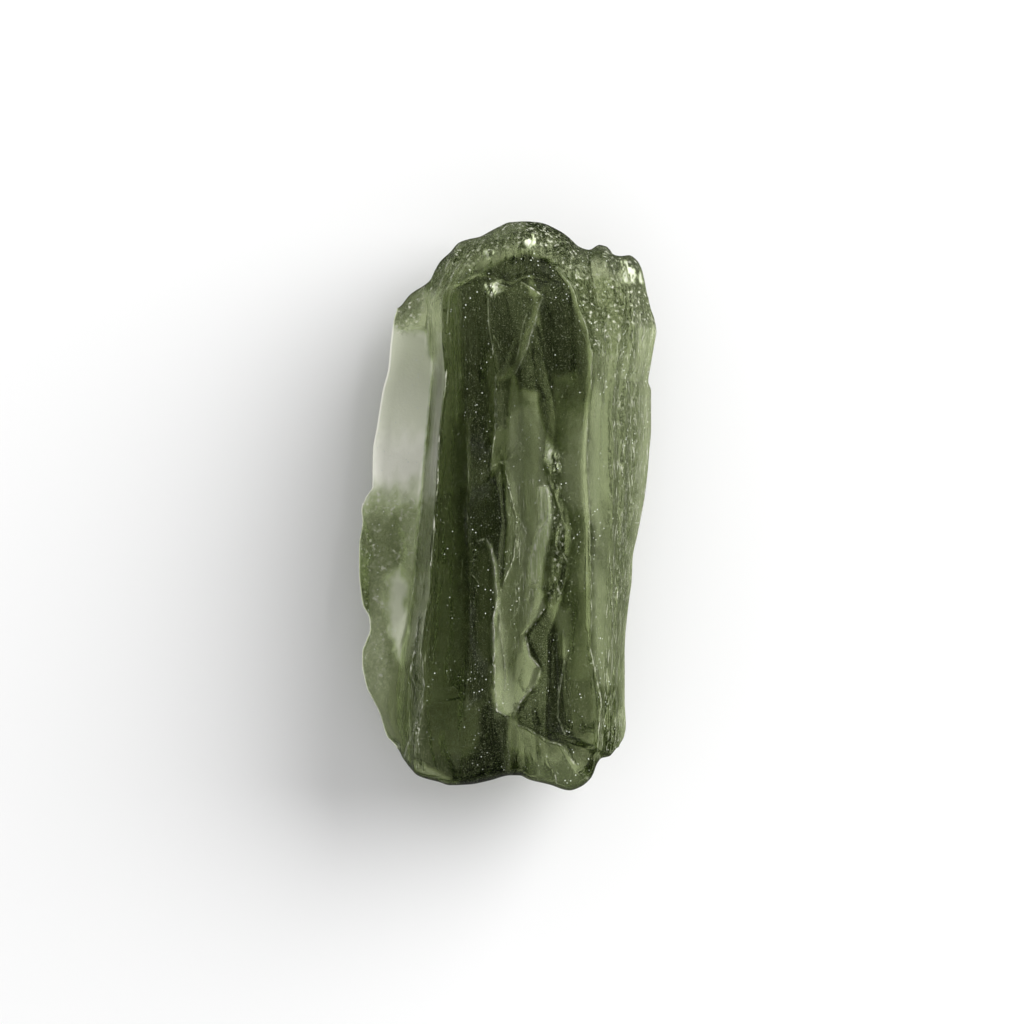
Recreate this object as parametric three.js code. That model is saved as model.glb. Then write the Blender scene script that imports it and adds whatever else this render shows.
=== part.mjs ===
// A raw moldavite: one piece of bottle-green natural glass, lying on its back.
// Seen from above it is a long slab with a thin wing on its left, a thick furrowed body in its
// middle, a ribbed flank on its right, a lumpy crown at its far end and a broken near end.
// Units are millimetres. +Y runs along the stone to the crown, +Z is up, and the origin is under
// the middle of its box, on the surface that it rests on.
import * as THREE from "three";

// Driving dimensions of the finished stone
const LENGTH = 28.5;
const WIDTH = 15;
const THICKNESS = 9.4;

// Outline seen from above. The long edges are [y, x] and the two ends are [x, y].
const LEFT_EDGE = [
  [10, -5.6], [9.4, -5.75], [8.2, -5.9], [7, -6], [5.8, -6.3], [4, -6.6], [2.8, -6.8], [1, -6.85],
  [0.4, -7.2], [-0.2, -7.4], [-0.8, -7.35], [-2, -7.5], [-3.2, -7.5], [-4.4, -7.4], [-5, -7.3],
  [-5.6, -7], [-6.2, -6.95], [-6.8, -7.15], [-7.4, -7.35], [-8, -7.35], [-8.6, -7.25], [-9.2, -7.1],
  [-9.8, -6.8], [-10.4, -6.5], [-11.6, -6.1], [-12.2, -5.6],
];
const RIGHT_EDGE = [
  [10.5, 7.1], [10, 7.2], [9.4, 7.4], [8.8, 7.5], [8.2, 7.4], [7, 7.2], [6.3, 7.1], [5.8, 7.25],
  [4, 7.25], [2.8, 7.15], [1.6, 7.05], [0.4, 6.9], [-1.4, 6.55], [-2.6, 6.3], [-3.8, 6.25], [-5, 6.1],
  [-7.4, 5.9], [-9.8, 5.9], [-11, 5.95], [-11.6, 5.85], [-12.1, 5.6],
];
const CROWN_EDGE = [
  [-5.6, 10], [-4.9, 10.7], [-3.9, 11.4], [-3.7, 11.8], [-3.4, 12.3], [-2.9, 12.75], [-2.4, 13.25],
  [-1.9, 13.4], [-1.4, 13.5], [-0.9, 13.75], [-0.4, 14], [0.1, 14.2], [0.9, 14.25], [1.6, 14.2],
  [2.6, 13.8], [3.1, 13.45], [3.6, 13], [4.1, 12.85], [4.6, 13.1], [5, 13], [5.35, 12.6], [5.7, 12.55],
  [6.1, 12.6], [6.5, 12.35], [6.75, 11.9], [6.9, 11.3], [7.1, 10.5],
];
const BROKEN_EDGE = [
  [-5.6, -12.2], [-5.2, -12.8], [-4.4, -13.55], [-3.4, -13.85], [-2.9, -14], [-1.9, -13.95],
  [-0.9, -13.75], [0.1, -13.5], [0.6, -13.5], [1.1, -13.7], [2.1, -13.95], [3.1, -14.25], [3.6, -14.1],
  [4.2, -13.6], [4.5, -12.9], [4.7, -12.65], [5.1, -12.55], [5.6, -12.1],
];

// Lines that run the length of the stone, from left to right between its long edges: where each
// lies seen from above, as [y, x], and how high the surface stands there, as [y, z]. bow is how
// far the surface sinks (or, below 0, swells) half way to the next line, cells the strips between
// the two, and ribs and rib_depth the sharp-edged flutes in them.
const TOP_LINES = [
  {
    name: "left_edge", x: LEFT_EDGE, z: [[0, 2.9]], bow: 0, cells: 7, ribs: 0, rib_depth: 0,
  },
  {
    name: "wing_root",
    x: [
      [11.5, -3.85], [10.3, -4], [8.3, -3.85], [6.3, -3.85], [4.3, -4], [1.3, -4.25], [-0.7, -4.45],
      [-2.7, -4.6], [-5, -4.85], [-6.3, -5.1], [-8, -5.6], [-9.2, -5.9], [-10.5, -5.9], [-12, -5.35],
    ],
    z: [[11, 4.2], [8, 3.2], [1.5, 3.1], [-0.5, 3.8], [-2.6, 4], [-4.5, 3.5], [-8, 3.9], [-12, 4.4]],
    bow: 0.1, cells: 4, ribs: 2, rib_depth: 0.3,
  },
  {
    name: "left_shoulder",
    x: [
      [12.3, -2.6], [10.3, -3.15], [8.3, -3.2], [6.3, -3.05], [5, -3.2], [2.85, -3.4], [0.85, -3.5],
      [-1.15, -3.65], [-2.3, -3.8], [-3.9, -3.75], [-5.15, -3.95], [-7.6, -4.2], [-8.9, -4.05],
      [-10.3, -4.3], [-11.5, -4.6], [-12.9, -4.6],
    ],
    z: [[12, 6.9], [9, 8.2], [5, 8.7], [-3, 8.9], [-9, 8.6], [-12.5, 7.4]],
    bow: 0.3, cells: 4, ribs: 0, rib_depth: 0,
  },
  {
    name: "left_crest",
    x: [[13, -1.9], [10, -2.2], [6, -2.1], [2, -1.95], [-1, -1.9], [-6, -1.9], [-10, -2.1], [-13, -2.3]],
    z: [[13, 7], [10, 8.6], [4, 9], [-2, 9.4], [-8, 9.2], [-10, 8.7], [-13, 7.2]],
    bow: 0.1, cells: 4, ribs: 0, rib_depth: 0,
  },
  {
    name: "tongue_left",
    x: [
      [12, -0.7], [10.5, -1], [8.8, -1.1], [7.5, -0.7], [6, -0.5], [4.8, -0.6], [3.8, -0.5], [2.4, -0.8],
      [1, -0.5], [-0.5, -0.25], [-1.8, -0.45], [-2.8, -0.5], [-4, -0.45], [-5.3, -0.7], [-6.3, -0.5],
      [-7.4, -0.6], [-9.7, -0.7], [-11, -0.5], [-13, -0.2],
    ],
    z: [[13, 7.2], [10, 8.5], [6, 8.2], [2, 7.8], [-2, 8.6], [-6, 8.4], [-9, 7.6], [-11, 8.2], [-13, 7.2]],
    bow: 0.3, cells: 4, ribs: 0, rib_depth: 0,
  },
  {
    name: "tongue_floor",
    x: [[13, 0.5], [10, 0.4], [6, 0.7], [2, 0.8], [-2, 0.9], [-6, 0.6], [-9, 0.3], [-11, 0.7], [-13, 0.9]],
    z: [[13, 7.3], [10.5, 8.1], [8, 7], [5, 6.4], [0, 6.5], [-5, 6.6], [-8.5, 6.2], [-10, 7], [-13, 7.3]],
    bow: -0.1, cells: 4, ribs: 2, rib_depth: 0.1,
  },
  {
    name: "tongue_right",
    x: [
      [12, 1.2], [10.3, 1.5], [8.3, 1.7], [6.3, 2], [4.3, 2.4], [2.8, 2.3], [0.8, 2.2], [-0.5, 2.6],
      [-1.2, 2.9], [-2.7, 2.75], [-4.7, 2.6], [-6.7, 2.05], [-8.7, 2], [-10.7, 1.9], [-13, 2],
    ],
    z: [[13, 7], [10, 8.4], [6, 8.2], [3, 7.3], [-1, 7.5], [-6, 8], [-10, 8.2], [-13, 6.8]],
    bow: 0.15, cells: 4, ribs: 0, rib_depth: 0,
  },
  {
    name: "right_shoulder",
    x: [
      [12.8, 3], [11, 3.2], [10.1, 3.4], [8.8, 3.9], [7.7, 4.2], [6.2, 4.1], [4.3, 4], [2, 3.9],
      [0.3, 3.95], [-0.6, 4.15], [-2, 4.2], [-4.3, 4.1], [-6.5, 4.1], [-8.3, 4.2], [-9.5, 4.35],
      [-11.7, 4.45], [-13, 4.3],
    ],
    z: [[13, 6], [10, 7], [7, 7.3], [2, 7.1], [-4, 7.1], [-9, 6.9], [-12, 5.9]],
    bow: 0.25, cells: 4, ribs: 0, rib_depth: 0,
  },
  {
    name: "flank_rib",
    x: [
      [12.5, 5.4], [10.5, 5.8], [8.7, 5.7], [6.4, 5.35], [4.7, 5.15], [2.8, 5.2], [-1.7, 5.25],
      [-8.7, 5.15], [-12, 5.15],
    ],
    z: [[12, 6], [8, 6.3], [2, 6.3], [-5, 6.1], [-9, 5.9], [-12, 5.2]],
    bow: -0.5, cells: 9, ribs: 3, rib_depth: 0.28,
  },
  { name: "right_edge", x: RIGHT_EDGE, z: [[0, 3.6]], bow: 0, cells: 0, ribs: 0, rib_depth: 0 },
];

// Height of the rim, where the upper and lower faces meet, as [x, z], and how much more at the ends
const RIM_HEIGHT = [[-7.5, 2.6], [-4, 2.9], [0, 3.6], [4, 3.6], [7.5, 2.9]];
const RIM_END_LIFT = 0.6;
// Waves in the rim's height: how high, how fast along the stone and across it, and where they start
const RIM_WAVES = [
  { height: 0.25, along: 0.55, across: 0.3, start: 0 },
  { height: 0.15, along: 1.25, across: -0.5, start: 2 },
];
// The least height of a face over or under the rim, away from it
const LEAST_RISE = 0.2;
// How far in from the rim the upper and lower faces round over: left, right, crown end, broken end
const TOP_ROUND = { left: 0.6, right: 2.2, crown: 1.6, broken: 0.5 };
const BASE_ROUND = { left: 0.9, right: 2.4, crown: 3, broken: 2.4 };

// Lower face seen from above: its height across the stone as [x, z], how much it lifts at the
// ends, and its flutes. Where it would pass below zero it is worn flat.
const BASE_HEIGHT = [
  [-7.5, 2], [-5.5, 1.9], [-4.2, 1.4], [-3, 0.6], [-1.4, 0.06], [0.9, -0.16], [3, 0.06], [4.4, 0.4],
  [5.8, 0.9], [7.5, 1.5],
];
const BASE_END_LIFT = 1.9;
const BASE_FLUTE_PITCH = 1.75;
const BASE_FLUTE_DEPTH = 0.35;
// Waves that bend the flutes, in flutes: how far, how fast along the stone, and where they start
const BASE_FLUTE_WAVES = [{ reach: 0.25, along: 0.5, start: 0 }, { reach: 0.12, along: 1.3, start: 1 }];
// The resting spot, and the share of its half sizes within which there are no flutes
const SPOT = { x: 0.9, y: -0.4, across: 2.6, along: 4.6, plain: 0.6 };

// Ledges: a face that breaks off along a line. Each stands off by height on the left of its line
// as it is followed, and fades over reach.
const LEDGES = [
  // brow over the upper hollow
  { height: 0.5, edge: 0.25, reach: 1.5, line: [[2, 11.2], [1, 11.4], [0, 11.1], [-1, 11.6], [-2.3, 11.2]] },
  // upper facet, pointing down the stone
  {
    height: -0.55, edge: 0.18, reach: 1.6,
    line: [[1.5, 10.3], [1, 9.7], [0.5, 8.4], [0.1, 7.3], [-0.2, 6.4]],
  },
  // step from the dark left crest into the middle
  { height: -0.5, edge: 0.2, reach: 1.1, line: [[-0.8, 1.5], [-0.1, 2.3], [0.3, 0.9], [0.5, -0.6]] },
  // torn right side of the tongue
  {
    height: -0.6, edge: 0.2, reach: 1.2,
    line: [[2, -4.6], [0.9, -6.5], [1.6, -7.9], [1.3, -8.8], [0.2, -10.4]],
  },
  // broken wedge at the near end
  {
    height: -0.6, edge: 0.3, reach: 1.6,
    line: [[4.6, -12.3], [3.4, -11.8], [1.8, -11.2], [0.2, -10.5], [0.1, -13.5]],
  },
  // mottled swelling of the wing
  { height: 0.4, edge: 1.1, reach: 3.5, line: [[-7.4, 0.1], [-6, 0], [-4.6, 0.2]] },
];
// Ridges (height above 0) and grooves (below 0) along a line, with half their width
const FURROWS = [
  { height: 0.35, half: 0.35, line: [[-0.55, 6], [-0.6, 4.6], [-0.5, 3.9], [-0.8, 3]] },
  { height: -0.55, half: 0.4, line: [[2.1, 1], [2.6, -0.3], [2.85, -1.2], [2.75, -2.4]] },
  { height: 0.3, half: 0.3, line: [[4.2, 7.7], [4.1, 5], [3.9, 2], [4.1, -1], [4.1, -6]] },
  { height: -0.4, half: 0.35, line: [[2.7, -6.5], [2.7, -9], [2.9, -11]] },
  { height: -0.5, half: 0.45, line: [[-3.1, 9.8], [-2.9, 11.4], [-2.1, 13]] },
  { height: -0.6, half: 0.45, line: [[4.1, 12.9], [4.2, 11.4], [4.5, 10]] },
  { height: -0.5, half: 0.35, line: [[5.4, 12.7], [5.5, 11.4], [5.6, 10]] },
  { height: 0.3, half: 0.3, line: [[-4.9, -4.9], [-5.2, -6.4], [-5.7, -8.4], [-6, -10]] },
];
// Domes (height above 0) and hollows (below 0), each round
const LUMPS = [
  { x: 0.9, y: 13.3, radius: 0.9, height: 0.35 }, { x: -1.2, y: 12.7, radius: 0.8, height: 0.3 },
  { x: -2.7, y: 12.2, radius: 0.6, height: 0.35 }, { x: -4.8, y: 9.7, radius: 1, height: 0.5 },
  { x: 4.8, y: 12.3, radius: 0.75, height: 0.6 }, { x: 6.1, y: 11.7, radius: 0.8, height: 0.7 },
  { x: 3, y: 12.6, radius: 0.8, height: 0.3 }, { x: -5.4, y: -4.7, radius: 1.5, height: -0.7 },
  { x: -6.6, y: -8, radius: 0.8, height: 0.35 }, { x: -6.5, y: -3, radius: 1.1, height: 0.35 },
  { x: -2.3, y: -12, radius: 1.6, height: 0.5 }, { x: 2.6, y: -13, radius: 1, height: 0.15 },
];

// The same on the lower face, seen from above, where a hollow is above 0 because it goes up
const BASE_LUMPS = [
  { x: -5.8, y: 4.5, radius: 1.6, height: 0.35 }, { x: -2.6, y: 7.5, radius: 1.5, height: 0.6 },
  { x: 3.8, y: 6.8, radius: 1.7, height: 0.55 }, { x: -3.1, y: -3.2, radius: 1.2, height: 0.5 },
  { x: 4.6, y: -3.6, radius: 1.3, height: 0.5 }, { x: -1.6, y: -9.4, radius: 1.9, height: 0.7 },
  { x: 3.2, y: -9.6, radius: 1.4, height: -0.5 }, { x: 1.2, y: 10.6, radius: 1.6, height: -0.5 },
];

// Rows along the mesh, how much closer together they lie at the ends, and the steps in which the
// place where a strip of it meets the end's outline is closed in on
const ROWS = 49;
const ROW_CROWDING = 0.4;
const END_STEPS = 40;

const clamp = (value) => Math.min(1, Math.max(0, value));
const mix = (a, b, share) => a + (b - a) * share;
const smooth = (share) => share * share * (3 - 2 * share);

// A curve through keys of [at, value] that never swings past them
function through(keys, at) {
  const rising = keys[0][0] <= keys[keys.length - 1][0];
  const list = rising ? keys : [...keys].reverse();
  if (at <= list[0][0]) return list[0][1];
  if (at >= list[list.length - 1][0]) return list[list.length - 1][1];
  const slope = (i) => (list[i + 1][1] - list[i][1]) / (list[i + 1][0] - list[i][0]);
  const tangent = (i) => {
    if (i === 0 || i === list.length - 1) return 0;
    const [before, after] = [slope(i - 1), slope(i)];
    return before * after <= 0 ? 0 : (2 * before * after) / (before + after);
  };
  const i = list.findIndex(([key]) => key > at) - 1;
  const span = list[i + 1][0] - list[i][0];
  const t = (at - list[i][0]) / span;
  const swing = t * (1 - t) * span * (tangent(i) * (1 - t) - tangent(i + 1) * t);
  return mix(list[i][1], list[i + 1][1], smooth(t)) + swing;
}

// Nearest place on a line: its distance, and that distance signed to be above 0 on the left
function nearest(line, x, y) {
  let best = { distance: Infinity, side: 0 };
  for (let i = 0; i + 1 < line.length; i += 1) {
    const [ax, ay] = line[i];
    const [dx, dy] = [line[i + 1][0] - ax, line[i + 1][1] - ay];
    const share = clamp(((x - ax) * dx + (y - ay) * dy) / (dx * dx + dy * dy));
    const distance = Math.hypot(x - ax - dx * share, y - ay - dy * share);
    const cross = dx * (y - ay) - dy * (x - ax);
    if (distance < best.distance) best = { distance, side: Math.sign(cross) * distance };
  }
  return best;
}

function ledgeHeight({ height, edge, reach, line }, x, y) {
  const { distance, side } = nearest(line, x, y);
  return height * smooth(clamp(0.5 + side / (2 * edge))) * Math.max(0, 1 - distance / reach) ** 2;
}

function furrowHeight({ height, half, line }, x, y) {
  return height * Math.max(0, 1 - nearest(line, x, y).distance / half) ** 2;
}

function lumpHeight({ x: cx, y: cy, radius, height }, x, y) {
  return height * Math.max(0, 1 - ((x - cx) ** 2 + (y - cy) ** 2) / radius ** 2) ** 2;
}

const sum = (features, heightOf, x, y) => features.reduce((all, one) => all + heightOf(one, x, y), 0);

// Flutes whose ridges are sharp and whose floors are round, from 0 on a ridge to -1 on a floor
const fluted = (phase) => -Math.abs(Math.sin(Math.PI * phase));

// How far the faces have come out from the rim at a point, from 0 on the rim to 1
function opened(round, x, y) {
  const depths = [
    [x - through(LEFT_EDGE, y), round.left],
    [through(RIGHT_EDGE, y) - x, round.right],
    [through(CROWN_EDGE, x) - y, round.crown],
    [y - through(BROKEN_EDGE, x), round.broken],
  ];
  return depths.reduce((all, [depth, radius]) => all * Math.sqrt(1 - (1 - clamp(depth / radius)) ** 2), 1);
}

function rimHeight(x, y) {
  const wave = ({ height, along, across, start }) => height * Math.sin(along * y + across * x + start);
  const waves = RIM_WAVES.reduce((all, one) => all + wave(one), 0);
  return through(RIM_HEIGHT, x) + RIM_END_LIFT * (2 * y / LENGTH) ** 4 + waves;
}

// Height of the upper face between line number i and the next, a share of the way across
function topHeight(i, share, x, y) {
  const line = TOP_LINES[i];
  const next = TOP_LINES[Math.min(i + 1, TOP_LINES.length - 1)];
  const plain = mix(through(line.z, y), through(next.z, y), share);
  const bowed = plain - line.bow * 4 * share * (1 - share);
  const ribbed = bowed + line.rib_depth * fluted(line.ribs * share);
  const edged = ribbed + sum(LEDGES, ledgeHeight, x, y) + sum(FURROWS, furrowHeight, x, y);
  const formed = edged + sum(LUMPS, lumpHeight, x, y);
  const rim = rimHeight(x, y);
  return mix(rim, Math.max(formed, rim + LEAST_RISE), opened(TOP_ROUND, x, y));
}

// Height of the lower face, worn flat where it would pass below the resting surface
function baseHeight(x, y) {
  const away = Math.hypot((x - SPOT.x) / SPOT.across, (y - SPOT.y) / SPOT.along);
  const wave = ({ reach, along, start }) => reach * Math.sin(along * y + start);
  const bend = BASE_FLUTE_WAVES.reduce((all, one) => all + wave(one), 0);
  const flute = -BASE_FLUTE_DEPTH * fluted(x / BASE_FLUTE_PITCH + bend) * smooth(clamp(away - SPOT.plain));
  const lift = BASE_END_LIFT * ((y - SPOT.y) * 2 / LENGTH) ** 2;
  const formed = through(BASE_HEIGHT, x) + flute + lift + sum(BASE_LUMPS, lumpHeight, x, y);
  const rim = rimHeight(x, y);
  return Math.max(0, mix(rim, Math.min(formed, rim - LEAST_RISE), opened(BASE_ROUND, x, y)));
}

// The strips across the stone: each is a place between two lines, closer together at the edges
function columns() {
  const places = [];
  TOP_LINES.forEach(({ cells }, line) => {
    for (let k = 0; k < cells; k += 1) {
      const even = k / cells;
      const first = line === 0 ? 1 - Math.cos((Math.PI / 2) * even) : even;
      const last = line === TOP_LINES.length - 2;
      places.push({ line, share: last ? Math.sin((Math.PI / 2) * even) : first });
    }
  });
  places.push({ line: TOP_LINES.length - 2, share: 1 });
  return places;
}

function acrossAt({ line, share }, y) {
  return mix(through(TOP_LINES[line].x, y), through(TOP_LINES[line + 1].x, y), share);
}

// Where a column of the mesh runs out at one end of the stone
function endOf(place, edge) {
  let y = edge === CROWN_EDGE ? LENGTH / 2 : -LENGTH / 2;
  for (let i = 0; i < END_STEPS; i += 1) y = mix(y, through(edge, acrossAt(place, y)), 0.5);
  return y;
}

// The closed skin: an upper and a lower sheet over the same plan, sharing their rim
function stoneGeometry() {
  const places = columns();
  const [wide, long] = [places.length - 1, ROWS];
  const corners = [];
  const upper = new Map();
  const lower = new Map();
  places.forEach((place, i) => {
    const [near, far] = [endOf(place, BROKEN_EDGE), endOf(place, CROWN_EDGE)];
    for (let j = 0; j <= long; j += 1) {
      const even = j / long;
      const y = mix(near, far, even - (ROW_CROWDING / (2 * Math.PI)) * Math.sin(2 * Math.PI * even));
      const x = acrossAt(place, y);
      const key = `${i},${j}`;
      const onRim = i === 0 || i === wide || j === 0 || j === long;
      const top = onRim ? rimHeight(x, y) : topHeight(place.line, place.share, x, y);
      upper.set(key, corners.push([x, y, top]) - 1);
      lower.set(key, onRim ? upper.get(key) : corners.push([x, y, baseHeight(x, y)]) - 1);
    }
  });
  const faces = [];
  for (let i = 0; i < wide; i += 1) {
    for (let j = 0; j < long; j += 1) {
      const ring = [`${i},${j}`, `${i + 1},${j}`, `${i + 1},${j + 1}`, `${i},${j + 1}`];
      const [a, b, c, d] = ring.map((key) => upper.get(key));
      faces.push(a, b, c, a, c, d);
      const [e, f, g, h] = ring.map((key) => lower.get(key));
      faces.push(e, g, f, e, h, g);
    }
  }
  const geometry = new THREE.BufferGeometry();
  geometry.setAttribute("position", new THREE.Float32BufferAttribute(corners.flat(), 3));
  geometry.setIndex(faces);
  return geometry;
}

// Stretches the skin to the driving dimensions and stands it over the origin
function fitted(geometry) {
  geometry.computeBoundingBox();
  const { min, max } = geometry.boundingBox;
  geometry.translate(-(min.x + max.x) / 2, -(min.y + max.y) / 2, -min.z);
  geometry.scale(WIDTH / (max.x - min.x), LENGTH / (max.y - min.y), THICKNESS / (max.z - min.z));
  geometry.computeVertexNormals();
  return geometry;
}

const glass = new THREE.MeshStandardMaterial({ color: 0x5c6943, roughness: 0.25, metalness: 0 });
const stone = new THREE.Mesh(fitted(stoneGeometry()), glass);
stone.name = "moldavite";

const part = new THREE.Group();
part.add(stone);

export default part;
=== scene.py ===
# A raw moldavite on a pale floor, in soft light from the right, seen from straight above.
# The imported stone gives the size, and a finer skin of the same form stands for it.
import math

import bpy
import numpy as np
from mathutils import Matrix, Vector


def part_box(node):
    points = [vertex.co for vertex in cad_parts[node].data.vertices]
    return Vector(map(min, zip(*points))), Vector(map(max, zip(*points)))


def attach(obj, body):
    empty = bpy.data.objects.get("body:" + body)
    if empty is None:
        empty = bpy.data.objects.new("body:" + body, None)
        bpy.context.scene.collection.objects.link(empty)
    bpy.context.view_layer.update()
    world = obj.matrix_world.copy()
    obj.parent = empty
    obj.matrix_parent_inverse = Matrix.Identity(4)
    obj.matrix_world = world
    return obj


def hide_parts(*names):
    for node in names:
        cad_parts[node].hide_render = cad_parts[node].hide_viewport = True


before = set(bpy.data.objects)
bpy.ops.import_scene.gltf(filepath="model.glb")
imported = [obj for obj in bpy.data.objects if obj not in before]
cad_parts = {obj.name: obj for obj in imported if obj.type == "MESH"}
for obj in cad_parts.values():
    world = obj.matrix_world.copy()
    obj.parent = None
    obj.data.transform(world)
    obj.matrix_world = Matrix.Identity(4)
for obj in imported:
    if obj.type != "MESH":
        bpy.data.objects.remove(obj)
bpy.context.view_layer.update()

NODE = "moldavite"

# Forms below are in millimetres of a stone of this length. MM is one of them in the frame's metres.
LENGTH = 28.5
node_low, node_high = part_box(NODE)
MM = (node_high.y - node_low.y) / LENGTH

# Outline seen from above. The long edges are (y, x) and the two ends are (x, y).
LEFT_EDGE = [
    (10, -5.6), (9.4, -5.75), (8.2, -5.9), (7, -6), (5.8, -6.3), (4, -6.6), (2.8, -6.8), (1, -6.85),
    (0.4, -7.2), (-0.2, -7.4), (-0.8, -7.35), (-2, -7.5), (-3.2, -7.5), (-4.4, -7.4), (-5, -7.3),
    (-5.6, -7), (-6.2, -6.95), (-6.8, -7.15), (-7.4, -7.35), (-8, -7.35), (-8.6, -7.25), (-9.2, -7.1),
    (-9.8, -6.8), (-10.4, -6.5), (-11.6, -6.1), (-12.2, -5.6),
]
RIGHT_EDGE = [
    (10.5, 7.1), (10, 7.2), (9.4, 7.4), (8.8, 7.5), (8.2, 7.4), (7, 7.2), (6.3, 7.1), (5.8, 7.25),
    (4, 7.25), (2.8, 7.15), (1.6, 7.05), (0.4, 6.9), (-1.4, 6.55), (-2.6, 6.3), (-3.8, 6.25), (-5, 6.1),
    (-7.4, 5.9), (-9.8, 5.9), (-11, 5.95), (-11.6, 5.85), (-12.1, 5.6),
]
CROWN_EDGE = [
    (-5.6, 10), (-4.9, 10.7), (-3.9, 11.4), (-3.7, 11.8), (-3.4, 12.3), (-2.9, 12.75), (-2.4, 13.25),
    (-1.9, 13.4), (-1.4, 13.5), (-0.9, 13.75), (-0.4, 14), (0.1, 14.2), (0.9, 14.25), (1.6, 14.2),
    (2.6, 13.8), (3.1, 13.45), (3.6, 13), (4.1, 12.85), (4.6, 13.1), (5, 13), (5.35, 12.6), (5.7, 12.55),
    (6.1, 12.6), (6.5, 12.35), (6.75, 11.9), (6.9, 11.3), (7.1, 10.5),
]
BROKEN_EDGE = [
    (-5.6, -12.2), (-5.2, -12.8), (-4.4, -13.55), (-3.4, -13.85), (-2.9, -14), (-1.9, -13.95),
    (-0.9, -13.75), (0.1, -13.5), (0.6, -13.5), (1.1, -13.7), (2.1, -13.95), (3.1, -14.25), (3.6, -14.1),
    (4.2, -13.6), (4.5, -12.9), (4.7, -12.65), (5.1, -12.55), (5.6, -12.1),
]

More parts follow.
